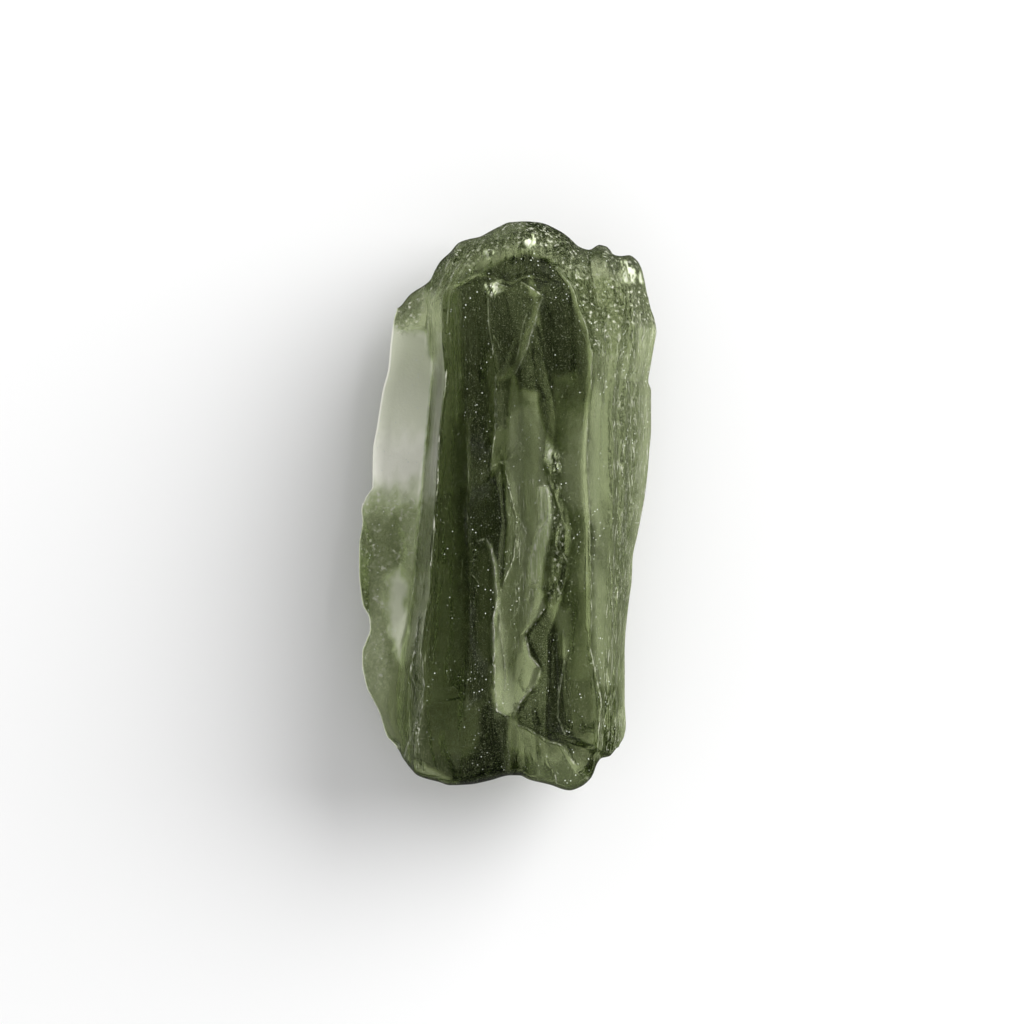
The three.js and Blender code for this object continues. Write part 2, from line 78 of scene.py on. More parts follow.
# Lines that run the length of the stone, from left to right: where each lies, as (y, x), and how
# high the surface stands there, as (y, z). bow is how far it sinks half way to the next line, ribs
# and rib_depth the sharp-edged flutes between the two, and cells the mesh's strips, all even.
TOP_LINES = {
    "left_edge": {"x": LEFT_EDGE, "z": [(-1, 2.9), (1, 2.9)], "cells": 34},
    "wing_root": {
        "x": [
            (11.5, -3.85), (10.3, -4), (8.3, -3.85), (6.3, -3.85), (4.3, -4), (1.3, -4.25), (-0.7, -4.45),
            (-2.7, -4.6), (-5, -4.85), (-6.3, -5.1), (-8, -5.6), (-9.2, -5.9), (-10.5, -5.9), (-12, -5.35),
        ],
        "z": [(11, 4.2), (8, 3.2), (1.5, 3.1), (-0.5, 3.8), (-2.6, 4), (-4.5, 3.5), (-8, 3.9), (-12, 4.4)],
        "bow": 0.1, "ribs": 2, "rib_depth": 0.3, "cells": 20,
    },
    "left_shoulder": {
        "x": [
            (12.3, -2.6), (10.3, -3.15), (8.3, -3.2), (6.3, -3.05), (5, -3.2), (2.85, -3.4), (0.85, -3.5),
            (-1.15, -3.65), (-2.3, -3.8), (-3.9, -3.75), (-5.15, -3.95), (-7.6, -4.2), (-8.9, -4.05),
            (-10.3, -4.3), (-11.5, -4.6), (-12.9, -4.6),
        ],
        "z": [(12, 6.9), (9, 8.2), (5, 8.7), (-3, 8.9), (-9, 8.6), (-12.5, 7.4)],
        "bow": 0.3, "cells": 20,
    },
    "left_crest": {
        "x": [
            (13, -1.9), (10, -2.2), (6, -2.1), (2, -1.95), (-1, -1.9), (-6, -1.9), (-10, -2.1), (-13, -2.3),
        ],
        "z": [(13, 7), (10, 8.6), (4, 9), (-2, 9.4), (-8, 9.2), (-10, 8.7), (-13, 7.2)],
        "bow": 0.1, "cells": 20,
    },
    "tongue_left": {
        "x": [
            (12, -0.7), (10.5, -1), (8.8, -1.1), (7.5, -0.7), (6, -0.5), (4.8, -0.6), (3.8, -0.5),
            (2.4, -0.8), (1, -0.5), (-0.5, -0.25), (-1.8, -0.45), (-2.8, -0.5), (-4, -0.45), (-5.3, -0.7),
            (-6.3, -0.5), (-7.4, -0.6), (-9.7, -0.7), (-11, -0.5), (-13, -0.2),
        ],
        "z": [
            (13, 7.2), (10, 8.5), (6, 8.2), (2, 7.8), (-2, 8.6), (-6, 8.4), (-9, 7.6), (-11, 8.2), (-13, 7.2),
        ],
        "bow": 0.3, "cells": 18,
    },
    "tongue_floor": {
        "x": [
            (13, 0.5), (10, 0.4), (6, 0.7), (2, 0.8), (-2, 0.9), (-6, 0.6), (-9, 0.3), (-11, 0.7), (-13, 0.9),
        ],
        "z": [
            (13, 7.3), (10.5, 8.1), (8, 7), (5, 6.4), (0, 6.5), (-5, 6.6), (-8.5, 6.2), (-10, 7), (-13, 7.3),
        ],
        "bow": -0.1, "ribs": 2, "rib_depth": 0.1, "cells": 18,
    },
    "tongue_right": {
        "x": [
            (12, 1.2), (10.3, 1.5), (8.3, 1.7), (6.3, 2), (4.3, 2.4), (2.8, 2.3), (0.8, 2.2), (-0.5, 2.6),
            (-1.2, 2.9), (-2.7, 2.75), (-4.7, 2.6), (-6.7, 2.05), (-8.7, 2), (-10.7, 1.9), (-13, 2),
        ],
        "z": [(13, 7), (10, 8.4), (6, 8.2), (3, 7.3), (-1, 7.5), (-6, 8), (-10, 8.2), (-13, 6.8)],
        "bow": 0.15, "cells": 22,
    },
    "right_shoulder": {
        "x": [
            (12.8, 3), (11, 3.2), (10.1, 3.4), (8.8, 3.9), (7.7, 4.2), (6.2, 4.1), (4.3, 4), (2, 3.9),
            (0.3, 3.95), (-0.6, 4.15), (-2, 4.2), (-4.3, 4.1), (-6.5, 4.1), (-8.3, 4.2), (-9.5, 4.35),
            (-11.7, 4.45), (-13, 4.3),
        ],
        "z": [(13, 6), (10, 7), (7, 7.3), (2, 7.1), (-4, 7.1), (-9, 6.9), (-12, 5.9)],
        "bow": 0.25, "cells": 18,
    },
    "flank_rib": {
        "x": [
            (12.5, 5.4), (10.5, 5.8), (8.7, 5.7), (6.4, 5.35), (4.7, 5.15), (2.8, 5.2), (-1.7, 5.25),
            (-8.7, 5.15), (-12, 5.15),
        ],
        "z": [(12, 6), (8, 6.3), (2, 6.3), (-5, 6.1), (-9, 5.9), (-12, 5.2)],
        "bow": -0.5, "ribs": 3, "rib_depth": 0.28, "cells": 30,
    },
    "right_edge": {"x": RIGHT_EDGE, "z": [(-1, 3.6), (1, 3.6)]},
}

# Height of the rim, where the upper and lower faces meet, as (x, z), how much more at the ends, and
# its waves, as height, pace along and across the stone, and start
RIM_HEIGHT = [(-7.5, 2.6), (-4, 2.9), (0, 3.6), (4, 3.6), (7.5, 2.9)]
RIM_END_LIFT = 0.6
RIM_WAVES = [(0.25, 0.55, 0.3, 0), (0.15, 1.25, -0.5, 2)]
# The least by which each face leaves the rim's height
LEAST_RISE = 0.2
# How far in from the rim the upper and lower faces round over: left, right, crown end, broken end
TOP_ROUND = (0.6, 2.2, 1.6, 0.5)
BASE_ROUND = (0.9, 2.4, 3, 2.4)

# Lower face seen from above: its height across the stone as (x, z), how much it lifts at the ends,
# its flutes, and how they wander, as reach, pace along the stone and start. Where it would pass
# below zero it is worn flat, round the resting spot.
BASE_HEIGHT = [
    (-7.5, 2), (-5.5, 1.9), (-4.2, 1.4), (-3, 0.6), (-1.4, 0.06), (0.9, -0.16), (3, 0.06), (4.4, 0.4),
    (5.8, 0.9), (7.5, 1.5),
]
BASE_END_LIFT = 1.9
BASE_FLUTE_PITCH = 1.75
BASE_FLUTE_DEPTH = 0.35
BASE_FLUTE_WAVES = [(0.25, 0.5, 0), (0.12, 1.3, 1)]
SPOT_X, SPOT_Y = 0.9, -0.4
SPOT_ACROSS, SPOT_ALONG = 2.6, 4.6
SPOT_FLAT = 0.6

# Ledges, where a face breaks off along a line: height on the left of the line as it is followed,
# half the width of its edge, the reach over which it fades, and the line
LEDGES = [
    (0.5, 0.25, 1.5, [(2, 11.2), (1, 11.4), (0, 11.1), (-1, 11.6), (-2.3, 11.2)]),
    (-0.55, 0.18, 1.6, [(1.5, 10.3), (1, 9.7), (0.5, 8.4), (0.1, 7.3), (-0.2, 6.4)]),
    (-0.5, 0.2, 1.1, [(-0.8, 1.5), (-0.1, 2.3), (0.3, 0.9), (0.5, -0.6)]),
    (-0.6, 0.2, 1.2, [(2, -4.6), (0.9, -6.5), (1.6, -7.9), (1.3, -8.8), (0.2, -10.4)]),
    (-0.6, 0.3, 1.6, [(4.6, -12.3), (3.4, -11.8), (1.8, -11.2), (0.2, -10.5), (0.1, -13.5)]),
    (0.4, 1.1, 3.5, [(-7.4, 0.1), (-6, 0), (-4.6, 0.2)]),
]
# Ridges (height above 0) and grooves (below 0): height, half the width, and the line
FURROWS = [
    (0.35, 0.35, [(-0.55, 6), (-0.6, 4.6), (-0.5, 3.9), (-0.8, 3)]),
    (-0.55, 0.4, [(2.1, 1), (2.6, -0.3), (2.85, -1.2), (2.75, -2.4)]),
    (0.3, 0.3, [(4.2, 7.7), (4.1, 5), (3.9, 2), (4.1, -1), (4.1, -6)]),
    (-0.4, 0.35, [(2.7, -6.5), (2.7, -9), (2.9, -11)]),
    (-0.5, 0.45, [(-3.1, 9.8), (-2.9, 11.4), (-2.1, 13)]),
    (-0.6, 0.45, [(4.1, 12.9), (4.2, 11.4), (4.5, 10)]),
    (-0.5, 0.35, [(5.4, 12.7), (5.5, 11.4), (5.6, 10)]),
    (0.3, 0.3, [(-4.9, -4.9), (-5.2, -6.4), (-5.7, -8.4), (-6, -10)]),
]
# Domes (height above 0) and hollows (below 0): x, y, radius and height
LUMPS = [
    (0.9, 13.3, 0.9, 0.35), (-1.2, 12.7, 0.8, 0.3), (-2.7, 12.2, 0.6, 0.35), (-4.8, 9.7, 1, 0.5),
    (4.8, 12.3, 0.75, 0.6), (6.1, 11.7, 0.8, 0.7), (3, 12.6, 0.8, 0.3), (-5.4, -4.7, 1.5, -0.7),
    (-6.6, -8, 0.8, 0.35), (-6.5, -3, 1.1, 0.35), (-2.3, -12, 1.6, 0.5), (2.6, -13, 1, 0.15),
]
# The same on the lower face, seen from above, where a hollow is above 0 because it goes up
BASE_LUMPS = [
    (-5.8, 4.5, 1.6, 0.35), (-2.6, 7.5, 1.5, 0.6), (3.8, 6.8, 1.7, 0.55), (-3.1, -3.2, 1.2, 0.5),
    (4.6, -3.6, 1.3, 0.5), (-1.6, -9.4, 1.9, 0.7), (3.2, -9.6, 1.4, -0.5), (1.2, 10.6, 1.6, -0.5),
]

# Fine ridges and grooves, given as the furrows are. The ridges are worn pale, with a painted
# highlight, and the grooves painted dark, a painted shade.
FINE_LINES = [
    # ridge band between the wing and the dark left crest
    (0.22, 0.14, [(-3.9, 5.3), (-4.2, 2.3), (-4.28, 0.35), (-4.65, -3.1), (-4.8, -4.7), (-4.5, -5.6)]),
    (0.25, 0.14, [(-4.5, -5.6), (-4.65, -7.4), (-4.8, -8.3), (-4.3, -9.2), (-4.65, -11), (-5.1, -12.5)]),
    (0.28, 0.14, [
        (-2.95, 6.6), (-3.2, 5.3), (-3.4, 3.05), (-3.5, 0.35), (-3.75, -2.2), (-3.9, -4.7), (-4.2, -5.6),
        (-4.27, -7.1), (-4.1, -9.05), (-4.3, -10.5), (-4.6, -12.3),
    ]),
    (0.15, 0.1, [(-3.5, 5), (-3.7, 1), (-4.05, -2.5), (-4.3, -4.5)]),
    (-0.2, 0.12, [(-3.15, 3), (-3.3, 0.4), (-3.5, -2.5), (-3.65, -5), (-3.9, -7.5)]),
    # crest lines that lean over the crown's left side
    (0.25, 0.14, [(-2.4, 13.15), (-3.1, 11.8), (-3.65, 10.6), (-3.95, 9.55), (-3.95, 8)]),
    (0.25, 0.14, [(-1.9, 12.7), (-2.8, 11.35), (-3.3, 10.15), (-3.35, 8.5), (-3.1, 7)]),
    (0.18, 0.12, [(-1.3, 13), (-1.9, 12.2), (-2.6, 11), (-2.9, 10.2), (-3, 8.6)]),
    (-0.25, 0.12, [(-2.1, 12.9), (-2.9, 11.6), (-3.5, 10.4), (-3.65, 9)]),
    # faint lines down the dark left crest
    (0.13, 0.1, [(-1.95, 3.35), (-1.9, 1.55), (-2, 0.35), (-1.95, -1.75)]),
    (0.1, 0.1, [(-2.2, -2.6), (-2.25, -5.2)]),
    (0.08, 0.1, [(-2.6, 8.8), (-2.5, 6), (-2.6, 4)]),
    # nose low on the crest, and the left side of the tongue
    (0.25, 0.16, [
        (-1.35, -1.75), (-1.05, -1.65), (-0.75, -2.1), (-0.6, -3), (-0.52, -4.5), (-0.7, -5.6), (-0.67, -7.7),
        (-0.5, -10.1), (-0.07, -10.4),
    ]),
    (0.18, 0.1, [(0.45, -1.45), (0.37, -2.5), (-0.37, -4.3), (-0.4, -6.2), (-0.1, -7.7), (-0.15, -9.2)]),
    (-0.3, 0.18, [(-0.25, 2), (-0.2, 0.5), (-0.1, -1.2), (-0.2, -3), (-0.3, -4)]),
    (0.16, 0.09, [(-0.9, 1.85), (-0.2, 2.2), (0.5, -0.55), (0.9, -1.3), (0.75, -1.75)]),
    # ridge above the tongue
    (0.22, 0.13, [(-0.6, 6.4), (-0.65, 5.2), (-0.6, 3.5), (-0.8, 1.85)]),
    # pale streaks of the tongue, and its torn right side
    (0.22, 0.2, [(1.95, 0.95), (2, -0.7), (1.4, -1.6), (1.1, -2.65), (1.2, -3.7), (1.7, -4.15)]),
    (0.15, 0.1, [(1.6, 0.9), (1.65, -0.6), (1.1, -1.6), (0.85, -2.8)]),
    (0.28, 0.16, [
        (1.87, -5), (1.42, -5.6), (0.82, -6.35), (1.12, -7.4), (1.65, -8), (1.5, -8.75), (0.52, -9.8),
        (0.3, -10.4),
    ]),
    (-0.22, 0.16, [
        (1.9, 3.5), (1.75, 2.3), (2.1, 1.5), (2.5, 1.2), (2.25, 0.35), (2.5, -0.7), (2.3, -1.9), (2.85, -3.1),
        (2.6, -4.6),
    ]),
    (0.16, 0.1, [(2.6, 1), (2.45, 0.3), (2.75, -0.7), (2.55, -1.9), (3, -2.9)]),
    # right shoulder
    (0.2, 0.12, [(2.4, 11.8), (3.1, 11), (3.5, 9.9), (3.9, 8.8), (4.2, 7.5), (4.15, 6.1), (4.05, 5.3)]),
    (0.2, 0.12, [
        (4.05, 5.3), (3.9, 2.3), (4.05, -0.7), (4.1, -2.95), (4.2, -5.15), (4.1, -6.95), (4.6, -9.65),
        (4.5, -12.2),
    ]),
    # upper hollow and the facet that points down the stone
    (-0.3, 0.16, [(-2.6, 10.7), (-1.4, 11.3), (-0.5, 11), (0.3, 10.9), (1, 11.2), (2, 11.1)]),
    (0.2, 0.1, [(-1.1, 11.2), (-0.1, 10.8)]),
    (0.28, 0.11, [(0.75, 10.95), (1.75, 10.35), (1.6, 9.85), (1.05, 7.9), (0.35, 6.6)]),
    (0.2, 0.09, [(0.95, 9.4), (0.4, 7.3)]),
    (0.18, 0.1, [(-0.9, 10.2), (-0.85, 8.6), (-0.7, 7.5)]),
    (0.1, 0.09, [(-0.65, 8.4), (0.1, 6.85)]),
    (-0.25, 0.13, [(1.5, 8.8), (2.1, 6.85), (1.45, 7.75), (1.3, 7.2)]),
    (-0.28, 0.13, [(0.9, 5.2), (1.5, 5.05), (2, 5.4), (1.5, 6)]),
    (0.1, 0.09, [(-0.1, 4.3), (0.9, 4.9), (1.6, 3.6)]),
    # near end
    (-0.12, 0.1, [(-3.4, -9.7), (-2.4, -9.6), (-0.75, -9.6)]),
    (0.2, 0.14, [(0.5, -10.85), (1.9, -11.6), (2.6, -11.9), (3.5, -13.1), (4, -13.6)]),
    (0.22, 0.1, [(2, -12.7), (2.3, -13.1), (2.5, -13.9)]),
    (0.14, 0.14, [(2.8, -6.2), (2.85, -7.4), (2.6, -9.2), (2.5, -10.4), (2.8, -11.3)]),
    (-0.2, 0.14, [(2.1, -6.3), (2.2, -8), (2.1, -10), (2.2, -11)]),
    # crescent on the lowest lobe, and lint
    (0.14, 0.08, [(-7, -7.95), (-6.6, -8.1), (-6.45, -8.6), (-6.6, -9.1), (-7, -9.3)]),
    (0.22, 0.06, [(0.45, -4.75), (1.1, -4.65)]),
    (0.12, 0.06, [(0.6, -3.9), (0.55, -5.8)]),
    (0.22, 0.06, [(-1.75, -3.35), (-1.4, -3.9)]),
    # long lines of the flank
    (0.18, 0.1, [(5.45, 8.4), (5.3, 4.35), (5.35, 1.8)]),
    (0.14, 0.1, [(6.2, 10), (6.3, 7.2), (6.4, 4.3), (6.2, 1)]),
    (0.14, 0.1, [(5.3, -1.8), (5.2, -5), (5.3, -9), (5.2, -11.8)]),
    (0.14, 0.1, [(5.9, 1), (5.85, -3), (5.6, -7)]),
]
# Small round marks on the upper face, given as the lumps are
MARKS = [
    (-0.5, 10.75, 0.3, -0.25), (-0.5, 10.75, 0.16, 0.2), (-6.6, -8.4, 0.5, 0.15), (2.2, 2.3, 0.5, 0.3),
    (0.85, 13.05, 0.35, 0.3), (-1, 12.5, 0.25, 0.2), (-7, -0.7, 0.3, 0.2),
]

# How crumpled and how striped the plain lower face is
BASE_CRUST = 0.15
BASE_STRIPED = 0.3

# Heights of the fine relief
STRIPE_HEIGHT = 0.15
WRINKLE_HEIGHT = 0.14
SWELL_HEIGHT = 0.08
BASE_STRIPE_HEIGHT = 0.08
BASE_WRINKLE_HEIGHT = 0.04

# Crusted areas of the upper face: how crumpled, from 0 to 1, the width over which the area's edge
# fades, and its outline
CRUSTS = [
    # crown, top of the wing, and the mottled parts of the wing and of the flank
    (0.9, 0.3, [
        (-4.4, 10.6), (-3.2, 10.4), (-2.5, 11.5), (-1.4, 12.1), (-0.4, 12.5), (0.9, 12.75), (2.1, 12.4),
        (2.9, 11.5), (3.6, 10), (4.3, 7.4), (5.4, 7.8), (6.2, 9), (8, 9), (8, 16), (-8, 16),
    ]),
    (1, 0.3, [(-6.5, 9), (-5.3, 8.5), (-4.4, 9.2), (-3.9, 11.2), (-6.5, 12)]),
    (0.75, 0.4, [
        (-8, 1), (-4.4, 0.6), (-4.7, -2.8), (-5.9, -3.4), (-6.1, -5.6), (-5.5, -7.8), (-5.9, -9.6),
        (-8, -9.6),
    ]),
    (0.6, 0.4, [(5.3, 10), (6.8, 9), (6.9, 3), (6.2, -5), (5.1, -5), (4.9, 1)]),
    # crevice right of the tongue
    (0.9, 0.15, [
        (2, 1.4), (2.6, 1.4), (2.9, -0.8), (2.95, -2.6), (2.7, -4.4), (2.1, -5.2), (1.9, -4.2), (2.3, -2.4),
        (2.1, -0.6),
    ]),
]
# Glittering patches, crumpled into small facets, by their outline, and the width over which they
# fade. Of their facets, each set has a noise, a weight and a lean, and those above a share are pale:
# painted glints.
SPARKLES = [
    [(2.02, 3.15), (1.8, 2.3), (2.13, 1.65), (2.6, 1.45), (2.54, 2.6)],
    [(0.8, 13.4), (1.35, 13.5), (1.5, 13), (1.1, 12.7), (0.75, 12.9)],
    [(-1.25, 12.6), (-0.7, 12.85), (-0.6, 12.4), (-1, 12.2)],
    [(5.6, 12.3), (6.6, 12.2), (6.8, 11.2), (5.7, 11.1)],
    [(-1.3, 10.9), (-0.3, 11.1), (-0.2, 10.6), (-0.8, 10.3)],
]
SPARKLE_SOFT = 0.12
PAINTED_GLINT = 0.75
PAINTED_GLINT_SHARE = 0.1
PAINTED_GLINT_CONTRAST = 1.2
PAINTED_GLINT_FACETS = [("facet", 1, 0.3), ("fine facet", 0.6, -0.4)]

# Striping along the stone, painted one area over another: how striped, from 0 to 1, with the width
# over which the area's edge fades, and its outline
BODY_STRIPED = 0.1
STRIPED_AREAS = [
    (0.05, 0.5, [(-9, 9), (-4, 8.5), (-4.4, -0.5), (-9, -0.5)]),
    (0.3, 0.5, [(-9, -0.5), (-4.6, -0.5), (-5, -7), (-5.6, -13), (-9, -13)]),
    (1, 0.15, [
        (-3.9, 9), (-3.1, 9), (-3.4, 1), (-3.9, -5), (-4.2, -13), (-5.2, -13), (-4.8, -6), (-4.3, 0),
    ]),
    (1, 0.3, [(4.3, 9), (8, 10), (8, -13), (4.4, -13), (5, 0)]),
    (0.9, 0.3, [(0.3, 1.5), (2.2, 1.5), (2.2, -2), (1.6, -5), (0, -9), (0.4, -4)]),
    (0.15, 0.2, [(2.8, 4.6), (3.9, 4.6), (4.1, -9.5), (2.9, -5)]),
    (0.1, 0.2, [(4.2, 5.6), (5.1, 5.4), (5.1, -2), (4.3, -2)]),
    (0.15, 0.3, [(-4, -10), (0, -10), (0, -14), (-4, -14)]),
]

# Outlines that the next two tables share. BODY_LEFT, TONGUE and TORN_SIDE are parts of outlines.
WING_ROOT_PATCH = [(-5.3, -0.2), (-4.2, -0.2), (-4.4, -3.6), (-5.1, -3.4)]
WINDOW = [(-6, -3.5), (-5.4, -3), (-5, -3.6), (-5, -5.6), (-5.3, -7.9), (-5.7, -7.2), (-6.2, -5)]
LOWEST_LOBE = [(-8, -5), (-6.4, -5.6), (-5.9, -8), (-6, -10), (-5.5, -12.8), (-8, -13)]
BODY_LEFT = [(-3, 15), (-3.4, 10.5), (-3.8, 6.3), (-4.2, 2.3), (-4.3, 0.3), (-4.65, -3.2), (-4.85, -5.2)]
PALE_FLUTE = [(-4.4, 10.8), (-3.4, 10.8), (-3.3, 6.8), (-3.9, 7.5)]
MIDDLE = [(0, 4.4), (0.6, 5), (1.5, 4.8), (2, 3.2), (2, 2), (0, 2.2)]
TONGUE = [
    (-0.2, -4.7), (-0.5, -6.2), (-0.5, -9.2), (-0.1, -10.3), (0.4, -10.3), (1.5, -8.75), (1.65, -8),
    (1.1, -7.4), (0.8, -6.35), (1.4, -5.6), (1.9, -5), (1.7, -4.15), (1.2, -3.7), (1.1, -2.65), (1.4, -1.6),
    (2, -0.7), (2, 0.95), (1.7, 2.2),
]
TORN_SIDE = [
    (2, -5), (1.45, -5.7), (0.85, -6.4), (1.15, -7.4), (1.68, -8), (1.55, -8.8), (0.5, -10), (0.5, -10.9),
    (2.8, -12),
]

# Clearness of the glass seen from above, painted one area over another: from 0, dark, to 1, clear,
# with the width over which the area's edge fades, and its outline. Its dark areas are painted shade
# and its clear ones painted light, for how deep the glass is and how it bends the light.
BODY_CLEARNESS_AND_SHADE = 0.8
TINTS_OF_LIGHT_AND_SHADE = [
    # wing: its pale upper part, its crusted top, the mottled part with its lighter root, the clear
    # window, the lowest lobe and the darker foot
    (1, 0.5, [(-10, 10), (-3, 10), (-3, -0.2), (-10, -0.2)]),
    (0.5, 0.5, [(-10, 15), (-3, 15), (-3.6, 10), (-4.5, 9), (-10, 9.2)]),
    (0.5, 1.6, [(-10, -0.2), (-1, -0.2), (-1, -16), (-10, -16)]),
    (1, 0.5, WING_ROOT_PATCH),
    (0.95, 0.4, WINDOW),
    (0.8, 0.3, LOWEST_LOBE),
    (0.25, 0.2, [
        (-4.9, -5.8), (-4.1, -6), (-4.2, -12.6), (-4.6, -12.6), (-5.1, -11), (-5.4, -9.5), (-5.3, -8),
    ]),
    # body, the pale flute at its upper left, and the ridge band with its dark right side
    (0.8, 0.12, BODY_LEFT + [(-5, -11), (-4.6, -13), (-4.6, -15), (9, -15), (9, 15)]),
    (1, 0.2, PALE_FLUTE),
    (0.2, 0.12, [
        (-3.8, 6.3), (-3.6, 6), (-3.9, 1), (-4.2, -3), (-4, -5), (-4.2, -12.5), (-4.8, -12.5), (-4.85, -5.2),
        (-4.3, 0.3),
    ]),
    (0.05, 0.15, [(-3.7, 8), (-3.1, 8), (-3.1, 4), (-3.4, 0), (-3.7, -3), (-4.1, -3), (-3.8, 1), (-3.6, 6)]),
    # dark crest, its lighter left side and lower half, and its narrow strips
    (0.1, 0.15, [
        (-2.5, 10.8), (-3, 8), (-3.1, 4), (-3.4, 0), (-3.7, -3), (-4, -6), (-4.1, -9.5), (-4.5, -12.5),
        (-2, -14), (0.05, -13.6), (0, -10.4), (-0.7, -9.6), (-0.6, -5), (-0.4, -3), (0, -1), (-0.2, 2.2),
        (-0.8, 1.5), (-0.7, 4), (-0.5, 6.2), (0.3, 7.3), (1.1, 9.4), (1, 12.5), (-0.4, 12.1), (-1.3, 11.3),
    ]),
    (0.6, 0.25, [(-3.2, 10.5), (-2.4, 10.5), (-2.2, 4), (-2.5, 0.5), (-3.5, 0.5), (-3.2, 4), (-3, 8)]),
    (0.4, 0.3, [(-2.9, 4.2), (-1.8, 4.2), (-1.9, 0.8), (-2.9, 0.8)]),
    (0.42, 0.5, [(-3.6, 0.5), (-2.2, 0.5), (-2.1, -5), (-2.1, -10), (-4.2, -10), (-4, -6), (-3.8, -3)]),
    (0.04, 0.2, [(-1.9, 4), (-1.2, 4), (-1.1, 1.8), (-1.8, 1.8)]),
    (0.05, 0.2, [(-1.9, -3.8), (-1.4, -3.8), (-1.2, -6), (-1.2, -9.6), (-1.9, -9.6)]),
    (0.3, 0.2, [(-1.5, -2.2), (-0.9, -2.2), (-0.7, -5), (-0.9, -7.6), (-1.4, -7.6)]),
    (0.4, 0.1, [(-0.95, 7.6), (-0.5, 7.6), (-0.45, 4), (-0.95, 3.8)]),
    (0.06, 0.1, [(-0.7, 1.3), (-0.4, 1.5), (-0.1, 0.3), (-0.15, -3.4), (-0.5, -3.8), (-0.5, -1.5)]),
    # near end of the crest: a lighter face and the dark one on its right
    (0.36, 0.4, [(-3.8, -9.7), (-1.2, -9.7), (-1.2, -12), (-2.4, -12.6), (-4, -12.2)]),
    (0, 0.2, [
        (-1.3, -9.8), (-0.1, -9.8), (0.3, -12), (0.2, -13.8), (-2.4, -14.5), (-2.2, -12.6), (-1.5, -12),
    ]),
    # facet under the crown, the strip on its right, and the dark hollows beyond and below
    (0.04, 0.2, [(-1, 10.6), (1.6, 10.3), (0.4, 7.1), (-0.2, 6.4), (-0.9, 8)]),
    (0.32, 0.15, [(1.45, 10.1), (1.75, 10.1), (1.2, 7.9), (0.45, 6.5), (0.15, 6.6), (0.8, 8)]),
    (0.02, 0.15, [(1.2, 9), (1.7, 9), (2.3, 6.5), (2.5, 3), (1.9, 3.4), (1.5, 5.6), (0.6, 5.8), (0.3, 6.6)]),
    (0.12, 0.15, [(-0.6, 6.2), (0.2, 6.4), (0.1, 4), (-0.6, 3.6)]),
    # dark arc on the right of the crown, its outer edge, its lower end, and its lighter foot
    (0.05, 0.2, [
        (0.6, 12.6), (2, 12.2), (2.9, 11.3), (3.4, 9.9), (4, 8), (3.9, 6.8), (3.2, 6.6), (2.4, 6.4), (1.9, 7),
        (1.6, 8.4), (1.6, 10),
    ]),
    (0.02, 0.2, [(2.3, 11), (2.9, 10.9), (3, 9.6), (2.4, 9.6)]),
    (0.5, 0.3, [(3.2, 11.4), (4.3, 11), (4.5, 8.5), (4.1, 8.5), (3.6, 10)]),
    (0.1, 0.15, [(3.4, 9.6), (3.8, 8.8), (4.05, 7.5), (4, 5.2), (3.5, 5.2), (3.4, 7)]),
    (0.35, 0.6, [(2.2, 6.4), (4, 6.4), (4, 3.4), (2.4, 3.2)]),
    (0.8, 0.8, [(2.5, 4.9), (4.3, 4.9), (4.3, 2.2), (2.5, 2.2)]),
    # middle, tongue, the smooth strip on its right, and the crevice
    (0.55, 0.2, [(-0.9, 3.6), (0, 3.8), (0, 0.8), (-0.4, 1.2)]),
    (1, 0.2, MIDDLE),
    (1, 0.15, [(-0.1, 2.6), (0, -0.7), (-0.05, -2.7)] + TONGUE),
    (1, 0.3, [(2.6, 3), (4, 4), (4.1, -0.4), (2.9, -0.4)]),
    (0.7, 0.3, [(2.8, -0.4), (4.1, -0.4), (4.1, -4), (3, -4)]),
    (0.5, 0.4, [(2.9, -4), (4.1, -4), (4.2, -9), (3, -9)]),
    (0.32, 0.3, [(3, -8.5), (4.2, -8.5), (4.3, -12.3), (3.2, -12)]),
    (0.75, 0.15, [(2.2, 0.9), (2.6, 0.8), (2.9, -0.8), (2.8, -1.8), (2, -2.2), (1.5, -2)]),
    (0.35, 0.2, [(2, -1.9), (2.9, -1.6), (3, -3), (2.8, -5), (2.1, -5), (1.6, -4)]),
    # dark facets right of the tongue's torn side, with a lighter one at their top
    (0.03, 0.1, TORN_SIDE + [(3.9, -12.6), (3.2, -11), (3, -8), (2.9, -5)]),
    (0.42, 0.25, [(2.1, -5), (3.1, -4.8), (3.1, -7.4), (2.5, -7.4), (2.3, -5.8)]),
    # wedge at the near end, and its dark corners
    (0.7, 0.2, [(0.1, -10.8), (2.8, -12), (4.1, -13.4), (3.2, -14.6), (0.2, -13.6)]),
    (0.1, 0.3, [(0, -12.2), (1, -12.4), (1.1, -13.4), (0, -13.5)]),
    (0.2, 0.3, [(2.9, -11.6), (4.4, -12.2), (4.4, -13.4), (3.3, -12.7)]),
    # flank, its middle, its top with the knobs, its low end and its rim
    (0.77, 0.2, [(4.3, 9), (8, 9), (8, -13), (4.5, -13), (4.2, 0)]),
    (0.7, 0.3, [(5.2, 9), (6.8, 9), (6.9, 3), (6.2, -4), (5.9, -13), (4.6, -13), (4.6, -3), (5, -1)]),
    (0.5, 0.4, [(4.2, 13), (8, 13), (8, 8.5), (4.2, 7.5)]),
    (0.85, 0.4, [(3.4, 14), (8, 14), (8, 9), (6.4, 9), (5.8, 11), (3.4, 11.6)]),
    (0.55, 0.4, [(4.4, -9), (5.4, -9), (5.3, -13), (4.4, -13)]),
    (0.95, 0.3, [(6.6, 9), (8, 9), (8, -13), (5.6, -13), (6.1, -3), (6.7, 3)]),
]
